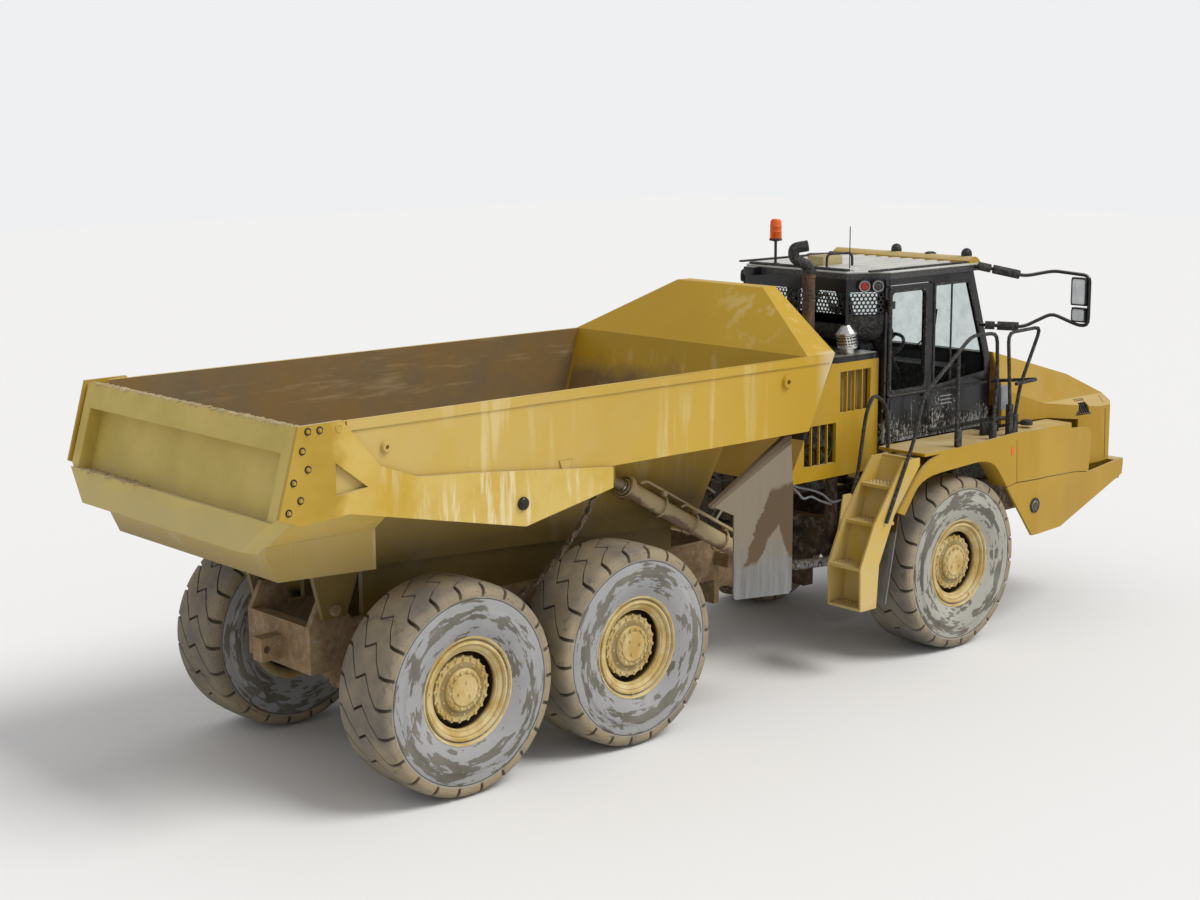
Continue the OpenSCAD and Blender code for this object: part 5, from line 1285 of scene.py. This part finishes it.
# Dark strips along the roof's edges, the aerial and the grip
for y in (-0.80, 0.80):
    block(bm, *route(((-0.64, y - 0.02, ROOF_TOP - 0.012), (0.78, y + 0.02, ROOF_TOP + 0.006))), 0.003)
block(bm, *route(((-0.73, -0.60, ROOF_TOP - 0.012), (-0.67, 0.60, ROOF_TOP + 0.010))), 0.004)
pipe(bm, route(((-0.52, -0.46, ROOF_TOP - 0.01), (-0.52, -0.46, 3.86))), 0.005, 6)
grip = ((-0.56, -0.22, ROOF_TOP - 0.01), (-0.56, -0.22, 3.60), (-0.30, -0.30, 3.60),
        (-0.30, -0.30, ROOF_TOP - 0.01))
pipe(bm, bent(route(grip), 0.05), 0.012)
hand_in("roof_fittings", bm, trim, "tractor")
bm = bmesh.new()
block(bm, *route(((-0.50, -0.12, ROOF_TOP - 0.012), (-0.22, 0.08, ROOF_TOP + 0.085))), 0.02)
hand_in("roof_box", bm, crust_soil, "tractor")
# The beacon: a lens with rings on a black pole
low, high = (Vector(corner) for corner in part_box("beacon"))
centre = (low + high) / 2
bm = bmesh.new()
top = high.z
turned(bm, [(radius, top - below) for radius, below in BEACON_LENS], (centre.x, centre.y, 0), UP, 24)
hand_in("beacon_lens", bm, orange, "tractor", ("beacon",))
bm = bmesh.new()
turned(bm, ((0.0, low.z), (0.045, low.z), (0.045, low.z + 0.02), (0.013, low.z + 0.03),
            (0.013, top - 0.21), (0.06, top - 0.20), (0.06, top - 0.181), (0.0, top - 0.181)),
       (centre.x, centre.y, 0), UP, 16)
hand_in("beacon_pole", bm, trim, "tractor")
print("roof pieces made")

# %% [markdown]
# ## Guard, lamps and the air system
# Behind the cab hangs a perforated guard with a dark scoop under it. Round lamps look back from its
# corners. Next to it stand the brown exhaust pipe, whose black elbow turns away at roof height, and
# the bright perforated drum that cleans the engine's air.

# %% Rear guard, exhaust and air cleaner
GUARD_CORNERS = ((-0.420, 0.862), (-0.755, 0.628))


def guard_path(out=0.0):
    """The guard's plan from the right corner to the left one, in points (x, y)."""
    right = [(FRONT_X + GUARD_CORNERS[0][0], -GUARD_CORNERS[0][1] - out),
             (FRONT_X + GUARD_CORNERS[1][0] - out, -GUARD_CORNERS[1][1] - out * 0.5)]
    return right + [(x, -y) for x, y in reversed(right)]


def slab(bm, a, b, low_z, high_z, thick):
    """An upright board from one plan point to another."""
    along = (Vector(b) - Vector(a)).normalized()
    out = Vector((along.y, -along.x)) * thick
    plate(bm, [tuple(a), tuple(b), tuple(Vector(b) + out), tuple(Vector(a) + out)], "z", low_z, high_z)


def perforated(bm, a, b, low_z, high_z, pitch=0.040, border=0.026, thick=0.006):
    """An upright sheet of six-sided cells with six-sided holes, in a plain border."""
    a, b = Vector((*a, 0.0)), Vector((*b, 0.0))
    along, length = (b - a).normalized(), (b - a).length
    out, up = Vector((along.y, -along.x, 0.0)), UP
    row_step, cell_r, hole_r = pitch * math.sqrt(3) / 2, pitch / math.sqrt(3), 0.38 * pitch
    for row in range(int((high_z - low_z - 2 * border) / row_step) + 1):
        first = border + 0.5 * pitch * (row % 2)
        for k in range(int((length - border - first) / pitch) + 1):
            centre = a + along * (first + k * pitch) + up * (low_z + border + row * row_step)
            rings = [[bm.verts.new(centre + radius * (math.cos(t) * along + math.sin(t) * up) + out * depth)
                      for t in (math.pi / 2 + corner * math.pi / 3 for corner in range(6))]
                     for radius, depth in ((cell_r, 0.0), (cell_r, thick), (hole_r, thick), (hole_r, 0.0))]
            for one, other in zip(rings, rings[1:] + rings[:1]):
                bridge(bm, one, other)
    for z0, z1 in ((low_z, low_z + border), (high_z - border, high_z)):
        slab(bm, a.xy, b.xy, z0, z1, thick + 0.003)
    for start, end in ((a, a + along * border), (b - along * border, b)):
        slab(bm, start.xy, end.xy, low_z + border, high_z - border, thick + 0.003)


GUARD_Z = (3.062, 3.398)
LAMP_BAND = 0.085
bm = bmesh.new()
plan = guard_path()
for one, other in zip(plan, plan[1:]):
    perforated(bm, one, other, GUARD_Z[0], GUARD_Z[1] - LAMP_BAND)
    slab(bm, one, other, GUARD_Z[1] - LAMP_BAND, GUARD_Z[1], 0.012)
block(bm, *route(((-0.850, 0.430, 3.380), (-0.744, 0.560, 3.458))), 0.01)
hand_in("guard_mesh", bm, black, "tractor", ("rear_guard",))

# Scoop: a sheet that curves in under the guard
bm = bmesh.new()
levels = ((3.075, 0.004), (3.00, 0.004), (2.93, -0.010), (2.875, -0.045), (2.845, -0.10), (2.84, -0.16))
grid = [[bm.verts.new((x, y, z)) for x, y in guard_path(out)] for z, out in levels]
for one, other in zip(grid, grid[1:]):
    span(bm, one, other)
bmesh.ops.solidify(bm, geom=bm.faces[:], thickness=0.008)
hand_in("guard_scoop", bm, scoop_grey, "tractor")
bm, glow, red, rings = bmesh.new(), bmesh.new(), bmesh.new(), bmesh.new()
for side in SIDES.values():
    out = Vector((-0.58, side * 0.81, 0.0)).normalized()
    for along, lamp in ((0.30, glow), (0.62, red)):
        place = Vector((FRONT_X - 0.45 - 0.30 * along, side * (0.875 - 0.235 * along), 3.345))
        turned(bm, ((0.0, -0.02), (0.056, -0.02), (0.056, 0.040), (0.050, 0.044), (0.040, 0.036),
                    (0.0, 0.036)), place, out, 20)
        turned(rings, ((0.041, 0.036), (0.052, 0.042), (0.050, 0.048), (0.041, 0.044)), place, out, 20,
               loop=True)
        turned(lamp, ((0.0, 0.0362), (0.040, 0.0362), (0.030, 0.044), (0.0, 0.047)), place, out, 20)
hand_in("lamp_cups", bm, trim, "tractor")
hand_in("lamp_rims", rings, pale_plate, "tractor")
hand_in("tail_lamps", red, red_lens, "tractor")
hand_in("work_lamps", glow, dark_lens, "tractor")

# Exhaust pipe with its foot and clamps, and the black elbow on it
EXHAUST_XY = (FRONT_X - 0.985, -0.385)
EXHAUST_FOOT = Vector((*EXHAUST_XY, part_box("exhaust")[0][2]))
PIPE_TOP = Vector((*EXHAUST_XY, 3.46))
bm = bmesh.new()
pipe(bm, (EXHAUST_FOOT, PIPE_TOP), 0.056, 20)
turned(bm, ((0.0, 0.0), (0.085, 0.0), (0.085, 0.014), (0.060, 0.02), (0.0, 0.02)), EXHAUST_FOOT, UP, 24)
for below in (0.04, 0.22):
    turned(bm, ((0.056, 0.0), (0.062, 0.002), (0.062, 0.022), (0.056, 0.024)),
           PIPE_TOP - Vector((0, 0, below)), UP, 24, loop=True)
hand_in("exhaust_pipe", bm, rust, "tractor", ("exhaust",))
bm = bmesh.new()
elbow = route(((-1.12, -0.320, 3.60), (-1.12, -0.320, 3.69), (-1.02, -0.40, 3.71)))
pipe(bm, bent([PIPE_TOP - Vector((0, 0, 0.02)), PIPE_TOP + Vector((0, 0, 0.06))] + elbow, 0.05, 5), 0.050, 18)
turned(bm, ((0.056, 0.0), (0.066, 0.0), (0.066, 0.03), (0.056, 0.03)), PIPE_TOP + Vector((0, 0, 0.005)),
       UP, 24, loop=True)
hand_in("exhaust_elbow", bm, trim, "tractor")

# Air cleaner: a leaning drum, and rings of holes in its bright middle
foot = Vector((FRONT_X - 0.80, -0.70, EXHAUST_FOOT.z))
lean = Vector((-0.10, 0.03, 1.0)).normalized()
bm = bmesh.new()
turned(bm, ((0.0, 0.0), (0.060, 0.0), (0.060, 0.045), (0.094, 0.055), (0.098, 0.075), (0.090, 0.082),
            (0.090, 0.170), (0.098, 0.177), (0.098, 0.195), (0.088, 0.205), (0.040, 0.262), (0.0, 0.264)),
       foot, lean, 28)
hand_in("air_cleaner", bm, chrome, "tractor")
holes = []
for level in (0.10, 0.127, 0.154):
    for place, _, _ in bolt_ring(foot + lean * level, lean, 0.0905, 22, 0.005, level * 30):
        outwards = (place - foot - lean * (place - foot).dot(lean)).normalized()
        holes.append((place, outwards, 0.0062))
hand_in("air_cleaner_holes", bolt_mesh(holes, trim, sides=8), trim, "tractor")
print("guard, exhaust and cleaner made")

# %% [markdown]
# ## Mirrors
# The mirrors hang on bent tubes with thick sleeves at their folding joints. From behind one looks
# into the glass, whose reflection of the bright sky is painted into it as a pale grey.

# %% Mirror pieces
bm, bright = bmesh.new(), bmesh.new()
for side in SIDES.values():
    for ends in (((0.82, 0.94, 3.44), (1.13, 1.20, 3.35)), ((0.935, 0.94, 2.88), (1.13, 1.20, 2.87))):
        a, b = route(ends, side)
        pipe(bm, (a.lerp(b, 0.25), a.lerp(b, 0.30), a.lerp(b, 0.80), a.lerp(b, 0.86)), 0.042, 14)
        pipe(bm, (a.lerp(b, -0.1), a.lerp(b, 0.18)), 0.040, 12)
    for up, across in (((3.095, 3.345), (1.585, 1.743)), ((2.94, 3.065), (1.595, 1.743))):
        ys = two(*across, side)
        # The glass faces, in the pale grey of the painted reflection
        plate(bright, opening(ys, up, -0.008, 0.02), "x", FRONT_X + 1.3235, FRONT_X + 1.3295)
        band(bm, opening(ys, up, 0.002, 0.024), opening(ys, up, -0.009, 0.018), "x",
             FRONT_X + 1.319, FRONT_X + 1.334)
hand_in("mirror_sleeves", bm, trim, "tractor")
hand_in("mirror_faces", bright, mirror_painted_reflection, "tractor")
print("mirror pieces made")

# %% [markdown]
# ## Bed and tailgate fittings
# The gate's arms are bolted to its ears in two staggered rows, and turn on greasy pins. A thin dark
# disc under each bolt is painted shade in its recess. Ring bosses with a hole stand on the bed's
# side, for the slings that lift it off.

# %% Bed and tailgate fittings
ARM_FACE = abs(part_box("tailgate")[0][1])
BED_FACE = 1.440
# Places on the gate's ear and arm, from the mid axle and from the ground
EAR_BOLTS = ((-3.030, 2.884), (-2.937, 2.883), (-3.077, 2.759), (-3.037, 2.632), (-3.152, 2.556),
             (-3.103, 2.432), (-3.197, 2.361))
EAR_HOLE, EAR_HOLE_R = (-2.781, 2.880), 0.020
GATE_PIN = (-1.213, 2.140)


def ring_boss(bm, x, z, side, outer=0.052, hole=0.020, rise=0.028):
    """A ring that stands on the bed's side, with a hole in it."""
    turned(bm, ((hole, -0.002), (outer, -0.002), (outer, rise * 0.6), (outer - 0.008, rise), (hole, rise)),
           (x, side * BED_FACE, z), (0, side, 0), 24, loop=True)


def on_arm(place, side, out=0.0):
    """A point on the outer face of the gate's ear or arm."""
    return (MID_X + place[0], side * (ARM_FACE + out), place[1])


gate_bolts, gate_metal, gate_hole_shade, bed_metal, pins = [], bmesh.new(), bmesh.new(), bmesh.new(), bmesh.new()
for side in SIDES.values():
    out = Vector((0, side, 0))
    for place in EAR_BOLTS:
        gate_bolts.append((on_arm(place, side, 0.002), out, 0.012))
        # Painted shade: a thin dark disc under each bolt stands for the shade in its recess.
        turned(gate_hole_shade, ((0.0, -0.002), (0.028, -0.002), (0.027, 0.0015), (0.0, 0.0015)),
               on_arm(place, side), out, 16)
    r = EAR_HOLE_R
    turned(gate_metal, ((0.0, -0.001), (r + 0.012, -0.001), (r + 0.010, 0.004), (r, 0.005),
                        (r * 0.9, 0.001), (0.0, 0.001)), on_arm(EAR_HOLE, side), out, 20)
    ring_boss(bed_metal, MID_X + 1.626, 2.733, side)
    ring_boss(bed_metal, MID_X - 2.385, 2.700, side, 0.040, 0.015)
    # Lifting tab under the bed's side
    tab = [(MID_X - 0.83, 2.40), (MID_X - 0.80, 2.305), (MID_X - 0.74, 2.305), (MID_X - 0.70, 2.40)]
    plate(bed_metal, tab, "y", *two(BED_FACE - 0.004, BED_FACE + 0.010, side))
    turned(pins, ((0.0, 0.0), (0.046, 0.0), (0.050, 0.008), (0.047, 0.022), (0.036, 0.032), (0.014, 0.034),
                  (0.0, 0.030)), on_arm(GATE_PIN, side, -0.002), out, 24)
gate_metal.from_mesh(bolt_mesh(gate_bolts, paint_gate))
hand_in("gate_bolts", gate_metal, paint_gate, "tailgate")
hand_in("gate_hole_shade", gate_hole_shade, grease_and_shade, "tailgate")
hand_in("bed_bosses", bed_metal, paint_bed, "bed")
hand_in("gate_pins", pins, grease_and_shade, "bed")
print("gate bolts", len(gate_bolts))

# %% [markdown]
# ## Hoist pipes
# Each hoist cylinder is fed through a steel pipe that runs along its barrel in clamps, and a bolted
# gland closes the barrel's upper end. The direction comes from the cylinder's two pins.

# %% Hoist pipes
LOW_PIN = Vector((MID_X + 2.050, 0.0, 1.045))
HIGH_PIN = Vector((MID_X + 0.300, 0.0, 2.030))
hoist_along = (HIGH_PIN - LOW_PIN).normalized()
hoist_up = Vector((0, 1, 0)).cross(hoist_along)
hoist_up = hoist_up if hoist_up.z > 0 else -hoist_up
BARREL_LENGTH = (HIGH_PIN - LOW_PIN).length - 0.260
BARREL_R = 0.095
HOIST_Y = 0.665
CLAMPS_AT = (0.26, 0.5, 0.74)
# (over the barrel's surface, along the barrel)
CLAMP = ((0.001, -0.012), (0.005, -0.010), (0.005, 0.010), (0.001, 0.012))
GLAND = ((-0.01, 0.0), (0.009, 0.0), (0.009, 0.040), (0.003, 0.048), (-0.01, 0.048))
bm = bmesh.new()
for side in SIDES.values():
    base = LOW_PIN + Vector((0, side * HOIST_Y, 0))

    def at(along, up, y=0.0):
        return base + hoist_along * along + hoist_up * up + Vector((0, side * y, 0))

    pipe(bm, bent((at(0.16, 0.09), at(0.16, 0.135), at(BARREL_LENGTH - 0.22, 0.135),
                   at(BARREL_LENGTH - 0.16, 0.09)), 0.05), 0.014)
    pipe(bm, bent((at(0.20, 0.08, 0.05), at(0.20, 0.118, 0.05), at(BARREL_LENGTH * 0.6, 0.118, 0.05),
                   at(BARREL_LENGTH * 0.62, 0.08, 0.04)), 0.04), 0.011)
    for part in CLAMPS_AT:
        turned(bm, [(BARREL_R + over, along) for over, along in CLAMP], at(BARREL_LENGTH * part, 0),
               hoist_along, 24, loop=True)
        here = at(BARREL_LENGTH * part, 0.122)
        block(bm, here - Vector((0.022, 0.022, 0.03)), here + Vector((0.022, 0.022, 0.02)), 0.005)
    turned(bm, [(BARREL_R + over, along) for over, along in GLAND], at(BARREL_LENGTH - 0.050, 0),
           hoist_along, 28, loop=True)
hand_in("hoist_pipes", bm, paint_hoist, "hoist_barrels")
print("hoist along", [round(v, 2) for v in hoist_along])

# %% [markdown]
# ## Body seams, vents and lamps
# The front body is made of several covers with thin dark gaps. The hood's side vents have upright
# black bars, the nose has a low grille, lamps sit in the bumper, and the fenders carry an orange
# reflector. Behind the vent's bars and the grille's louvres, dark sheets paint the shade in the
# openings.

# %% Body seams and vents
GRILLE_Z = (1.60, 1.87)
BUMPER_LAMP_Z = 1.275
FENDER_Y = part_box("fenders")[1][1]
LAMP_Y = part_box("lamps")[1][1]
SIDE_LAMP_X, SIDE_LAMP_Z = FRONT_X + 1.066, 1.195
dark, orange_bits = bmesh.new(), bmesh.new()
bm, glow = bmesh.new(), bmesh.new()
for side in SIDES.values():
    seam = ((0.752, 1.86), (0.758, 1.86), (0.778, 1.46), (0.772, 1.46))
    plate(dark, [(FRONT_X + x, z) for x, z in seam], "y", *two(FENDER_Y - 0.002, FENDER_Y + 0.0008, side))
    side_block(orange_bits, side, (0.675, 0.715), (FENDER_Y - 0.002, FENDER_Y + 0.004), (1.73, 1.80), 0.002)
    turned(bm, ((0.047, -0.03), (0.072, -0.03), (0.072, 0.006), (0.060, 0.010), (0.047, 0.008)),
           (SIDE_LAMP_X, side * (LAMP_Y - 0.010), SIDE_LAMP_Z), (0, side, 0), 28, loop=True)
    turned(glow, ((0.0, 0.0), (0.044, 0.0), (0.036, 0.008), (0.0, 0.012)),
           (SIDE_LAMP_X, side * LAMP_Y, SIDE_LAMP_Z), (0, side, 0), 24)
hand_in("fender_seams", dark, trim, "tractor")
hand_in("reflectors", orange_bits, orange, "tractor")
hand_in("lamp_rings", bm, trim, "tractor")
hand_in("lamp_lenses", glow, dark_lens, "tractor")


def tree_of(node):
    """A search tree of a CAD node's faces."""
    mesh = frame["nodes"][node].data
    return BVHTree.FromPolygons([v.co for v in mesh.vertices], [p.vertices for p in mesh.polygons])


hood_tree, bumper_tree = tree_of("hood"), tree_of("bumper")


def on_side(tree, x, z, side, out):
    """The point on a body's side at x and z, moved outwards a little."""
    hit = tree.ray_cast(Vector((FRONT_X + x, side * 3.0, z)), Vector((0, -side, 0)))[0]
    return hit + Vector((0, side * out, 0))


def on_front(tree, y, z, out):
    """The point on a body's front at y and z, moved forwards a little."""
    hit = tree.ray_cast(Vector((FRONT_X + 5.0, y, z)), Vector((-1, 0, 0)))[0]
    return hit + Vector((out, 0, 0))


def sheet(bm, rows, back):
    """A closed sheet through rows of points, as thick as the step back."""
    back = Vector(back)
    layers = [[[bm.verts.new(point + step) for point in row] for row in rows] for step in (Vector(), back)]
    loops = []
    for layer in layers:
        for one, other in zip(layer, layer[1:]):
            span(bm, one, other)
        right, left = [row[-1] for row in layer[1:-1]], [row[0] for row in layer[-2:0:-1]]
        loops.append(layer[0] + right + layer[-1][::-1] + left)
    bridge(bm, *loops)


SEAM_Z = steps_between(1.42, 2.04, 10)
# Corners of the hood's side vent: low rear, low front, top rear, top front
VENT = ((2.175, 1.890), (2.400, 1.890), (2.175, 2.045), (2.345, 2.045))
dark, bars = bmesh.new(), bmesh.new()
for side in SIDES.values():
    inwards = (0, -side * 0.006, 0)
    sheet(dark, [[on_side(hood_tree, x, z, side, 0.0012) for x in (2.615, 2.623)] for z in SEAM_Z], inwards)
    # The vent is laid over its opening, between four points of the skin round it
    low_rear, low_front, top_rear, top_front = (on_side(hood_tree, x, z, side, 0.0) for x, z in VENT)

    def in_vent(across, up, out):
        low, high = low_rear.lerp(low_front, across), top_rear.lerp(top_front, across)
        return low.lerp(high, up) + Vector((0, side * out, 0))

    # Painted shade: a dark sheet over the vent's opening, behind its bars
    sheet(dark, [[in_vent(a, u, 0.003) for a in (0.0, 1.0)] for u in (0.0, 1.0)], inwards)
    for k in range(6):
        a = 0.07 + 0.155 * k
        sheet(bars, [[in_vent(a, u, 0.012), in_vent(a + 0.06, u, 0.012)] for u in (0.06, 0.94)],
              (0, -side * 0.010, 0))
# Nose grille, with its louvres, and the lamps in the bumper
stations = steps_between(-0.60, 0.60, 12)
# Painted shade: a dark sheet behind the nose grille's louvres
sheet(dark, [[on_front(hood_tree, y, z, 0.002) for y in stations] for z in GRILLE_Z], (-0.006, 0, 0))
for z in steps_between(GRILLE_Z[0] + 0.02, GRILLE_Z[1] - 0.035, 8):
    sheet(bars, [[on_front(hood_tree, y, z + rise, out) for y in stations]
                 for rise, out in ((0.0, 0.010), (0.016, 0.012))], (-0.010, 0, 0))
head_cups, head_lenses = bmesh.new(), bmesh.new()
for side in SIDES.values():
    for y in (0.88, 1.04):
        place = on_front(bumper_tree, side * y, BUMPER_LAMP_Z, -0.008)
        turned(head_cups, ((0.0, -0.01), (0.066, -0.01), (0.066, 0.006), (0.058, 0.009), (0.052, 0.004),
                           (0.0, 0.004)), place, (1, 0, 0), 24)
        turned(head_lenses, ((0.0, 0.0042), (0.050, 0.0042), (0.038, 0.009), (0.0, 0.011)), place,
               (1, 0, 0), 24)
hand_in("head_lamp_cups", head_cups, trim, "tractor")
hand_in("head_lamp_lenses", head_lenses, lens, "tractor")
hand_in("hood_seams_and_opening_shade", dark, grease_and_shade, "hood")
hand_in("hood_vent_bars", bars, trim, "hood")
print("seams and lamps made")

# %% [markdown]
# ## Step studs and the cooler's fan
# The treads are punched with rows of small studs that grip a boot. Behind the lower window of the
# cooling box stands a plain fan in a thin ring.

# %% Step studs and fan
# (x from the front axle, height) of each tread's rear edge
STEP_PLACES = ((-0.967, 1.650), (-1.159, 1.344), (-1.370, 0.985), (-1.410, 0.625))
STUD_ROWS, STUDS_ACROSS = 4, 9
FAN_PLACE = (-1.27, 0.72, 1.98)
FAN_BLADES = 7
# (outwards from the hub, across, out from the ring's plane) of a blade's corners
BLADE = ((0.045, -0.02, 0.03), (0.18, -0.055, 0.035), (0.18, 0.055, 0.005), (0.045, 0.02, 0.01))
studs = []
for side in SIDES.values():
    for x0, z in STEP_PLACES:
        for i in range(STUD_ROWS):
            for k in range(STUDS_ACROSS):
                place = (FRONT_X + x0 + 0.02 + 0.045 * i, side * (1.385 - 0.040 * k), z + 0.001)
                studs.append((place, UP, 0.006))
hand_in("step_studs", bolt_mesh(studs, paint_steps, sides=8), paint_steps, "tractor")
bm = bmesh.new()
for side in SIDES.values():
    centre = route((FAN_PLACE,), side)[0]
    turned(bm, ((0.185, 0.0), (0.200, 0.0), (0.200, 0.05), (0.192, 0.058), (0.185, 0.05)), centre,
           (0, side, 0), 32, loop=True)
    turned(bm, ((0.0, 0.0), (0.05, 0.0), (0.05, 0.04), (0.0, 0.045)), centre, (0, side, 0), 20)
    for a in turns(FAN_BLADES):
        tip = Vector((math.cos(a), 0, math.sin(a)))
        along = Vector((-math.sin(a), 0, math.cos(a)))
        corners = [centre + tip * r + along * w + Vector((0, side * h, 0)) for r, w, h in BLADE]
        top = [bm.verts.new(c) for c in corners]
        under = [bm.verts.new(c - Vector((0, side * 0.004, 0))) for c in corners]
        bm.faces.new(top)
        bm.faces.new(under)
        bridge(bm, top, under)
hand_in("cooling_fan", bm, trim, "tractor")
# Pressed sheet behind the upper window, and the plates that close the lowest step's box
core, box_backs = bmesh.new(), bmesh.new()
for side in SIDES.values():
    folds = [(FRONT_X - 1.03 + 0.016 * k, side * (0.742 if (k // 2) % 2 else 0.728)) for k in range(30)]
    plate(core, folds + [(x, y - side * 0.006) for x, y in reversed(folds)], "z", 2.21, 2.64)
    back = ((-1.225, 0.626), (-1.213, 0.626), (-1.175, 0.960), (-1.187, 0.960))
    plate(box_backs, [(FRONT_X + x, z) for x, z in back], "y", *two(1.040, 1.408, side))
hand_in("cooling_core", core, paint_core, "tractor")
hand_in("step_box_backs", box_backs, paint_steps, "tractor")
print("studs", len(studs))

# %% [markdown]
# ## Hoses at the hinge
# Hydraulic hoses and pale cables cross the hinge between the two halves. They are modelled as short
# fixed runs: some lie on the hinge's own body, because the swing carries them with it, and two white
# cables a side droop from the cooling box, outside the frame.

# %% Hinge hoses
CABLES = (((0.72, 0.62, 1.672), (0.79, 0.70, 1.615), (0.99, 0.70, 1.561), (1.13, 0.70, 1.505),
           (1.27, 0.70, 1.402), (1.40, 0.68, 1.405)),
          ((0.74, 0.60, 1.668), (0.80, 0.70, 1.575), (0.88, 0.70, 1.486), (0.98, 0.70, 1.508),
           (1.10, 0.70, 1.444), (1.25, 0.70, 1.392)))
hoses, cables, drooped = bmesh.new(), bmesh.new(), bmesh.new()
for k, y in enumerate((-0.26, -0.18, 0.16, 0.24, 0.30)):
    sag = 0.06 + 0.02 * (k % 3)
    path = bent(((HITCH_X + 0.16, y, 1.46), (HITCH_X + 0.02, y * 1.1, 1.46 + sag),
                 (HITCH_X - 0.14, y * 0.95, 1.43), (HITCH_X - 0.22, y * 0.9, 1.33)), 0.10, 6)
    pipe(hoses if k % 2 else cables, path, 0.017 if k % 2 else 0.011, 10)
for side in SIDES.values():
    for path in CABLES:
        pipe(drooped, bent([(x, side * y, z) for x, y, z in path], 0.05, 5), 0.010, 8)
hand_in("hinge_hoses", hoses, hose, "hitch")
hand_in("drooped_cables", drooped, pale_plate, "tractor")
hand_in("hinge_cables", cables, pale_hose, "hitch")
print("hoses made")

# %% [markdown]
# ## Bogie rods and covers
# From behind one sees what guides the two rear axles: a pair of long rods that run in a V from the
# frame to each axle's top, and the bolted cover of the differential.

# %% Bogie rods
ROD_REACH = 0.62
bm = bmesh.new()
for x, sign in ((MID_X, 1), (REAR_X, -1)):
    top = Vector((x, 0.0, HUB_Z + 0.26))
    for y in (-0.30, 0.30):
        end = Vector((x + sign * ROD_REACH, y, HUB_Z + 0.30))
        start = top + Vector((sign * 0.06, y * 0.25, 0.0))
        pipe(bm, (start, end), 0.030, 12)
        turned(bm, ((0.0, -0.04), (0.055, -0.04), (0.06, 0.0), (0.055, 0.04), (0.0, 0.04)), end,
               (0, 1, 0), 16)
    turned(bm, ((0.0, 0.0), (0.10, 0.0), (0.10, 0.05), (0.06, 0.07), (0.0, 0.07)),
           top + Vector((0, 0, -0.06)), UP, 20)
cover = Vector((REAR_X - 0.20, 0.0, HUB_Z))
turned(bm, ((0.0, 0.0), (0.235, 0.0), (0.235, 0.02), (0.19, 0.03), (0.13, 0.11), (0.0, 0.14)), cover,
       (-1, 0, 0), 28)
cover_bolts = bolt_ring(cover + Vector((-0.022, 0, 0)), (-1, 0, 0), 0.212, 16, 0.011)
bm.from_mesh(bolt_mesh(cover_bolts, mud))
hand_in("bogie_rods", bm, mud, "rear_frame")
print("bogie rods made")

# %% [markdown]
# ## Dried soil
# Soil falls off the load and dries on every ledge. Lumps are scattered on narrow strips by Geometry
# Nodes, with a fixed seed, so the crust on the gate's crest and ledge stays the same each time.

# %% Dried soil
LEVEL_WITHIN = 0.02
LUMPS = {"Density": 900.0, "Seed": 4, "Size": 0.021}


def top_strips(node, xs, ys, level_low, level_high):
    """Strips that lie on a CAD node, where its top is level and between two heights."""
    tree = tree_of(node)
    strips = []
    for x0, x1 in zip(xs, xs[1:]):
        for y0, y1 in zip(ys, ys[1:]):
            hits = [tree.ray_cast(Vector((x, y, level_high)), Vector((0, 0, -1)))[0]
                    for x, y in ((x0, y0), (x1, y0), (x1, y1), (x0, y1))]
            levels = [hit.z for hit in hits if hit]
            if all(hits) and min(levels) > level_low and max(levels) - min(levels) < LEVEL_WITHIN:
                strips.append(hits)
    return strips


gate_xs = steps_between(Vector(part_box("tailgate")[0]).x + 0.005, MID_X - 2.85, 24)
crest = top_strips("tailgate", gate_xs, steps_between(-1.40, 1.40, 40), 2.80, 3.2)
ledge = top_strips("tailgate", gate_xs, steps_between(0.35, 1.30, 18), 2.15, 2.6)
strips = bpy.data.meshes.new("ledge")
corners = [tuple(corner) for strip in crest + ledge for corner in strip]
strips.from_pydata(corners, [], [tuple(range(k, k + 4)) for k in range(0, len(corners), 4)])
hand_in("soil_on_gate", realised(strips, soil, Finish=crust_soil, **LUMPS), crust_soil, "tailgate")
print("strips under the soil", len(crest), len(ledge))
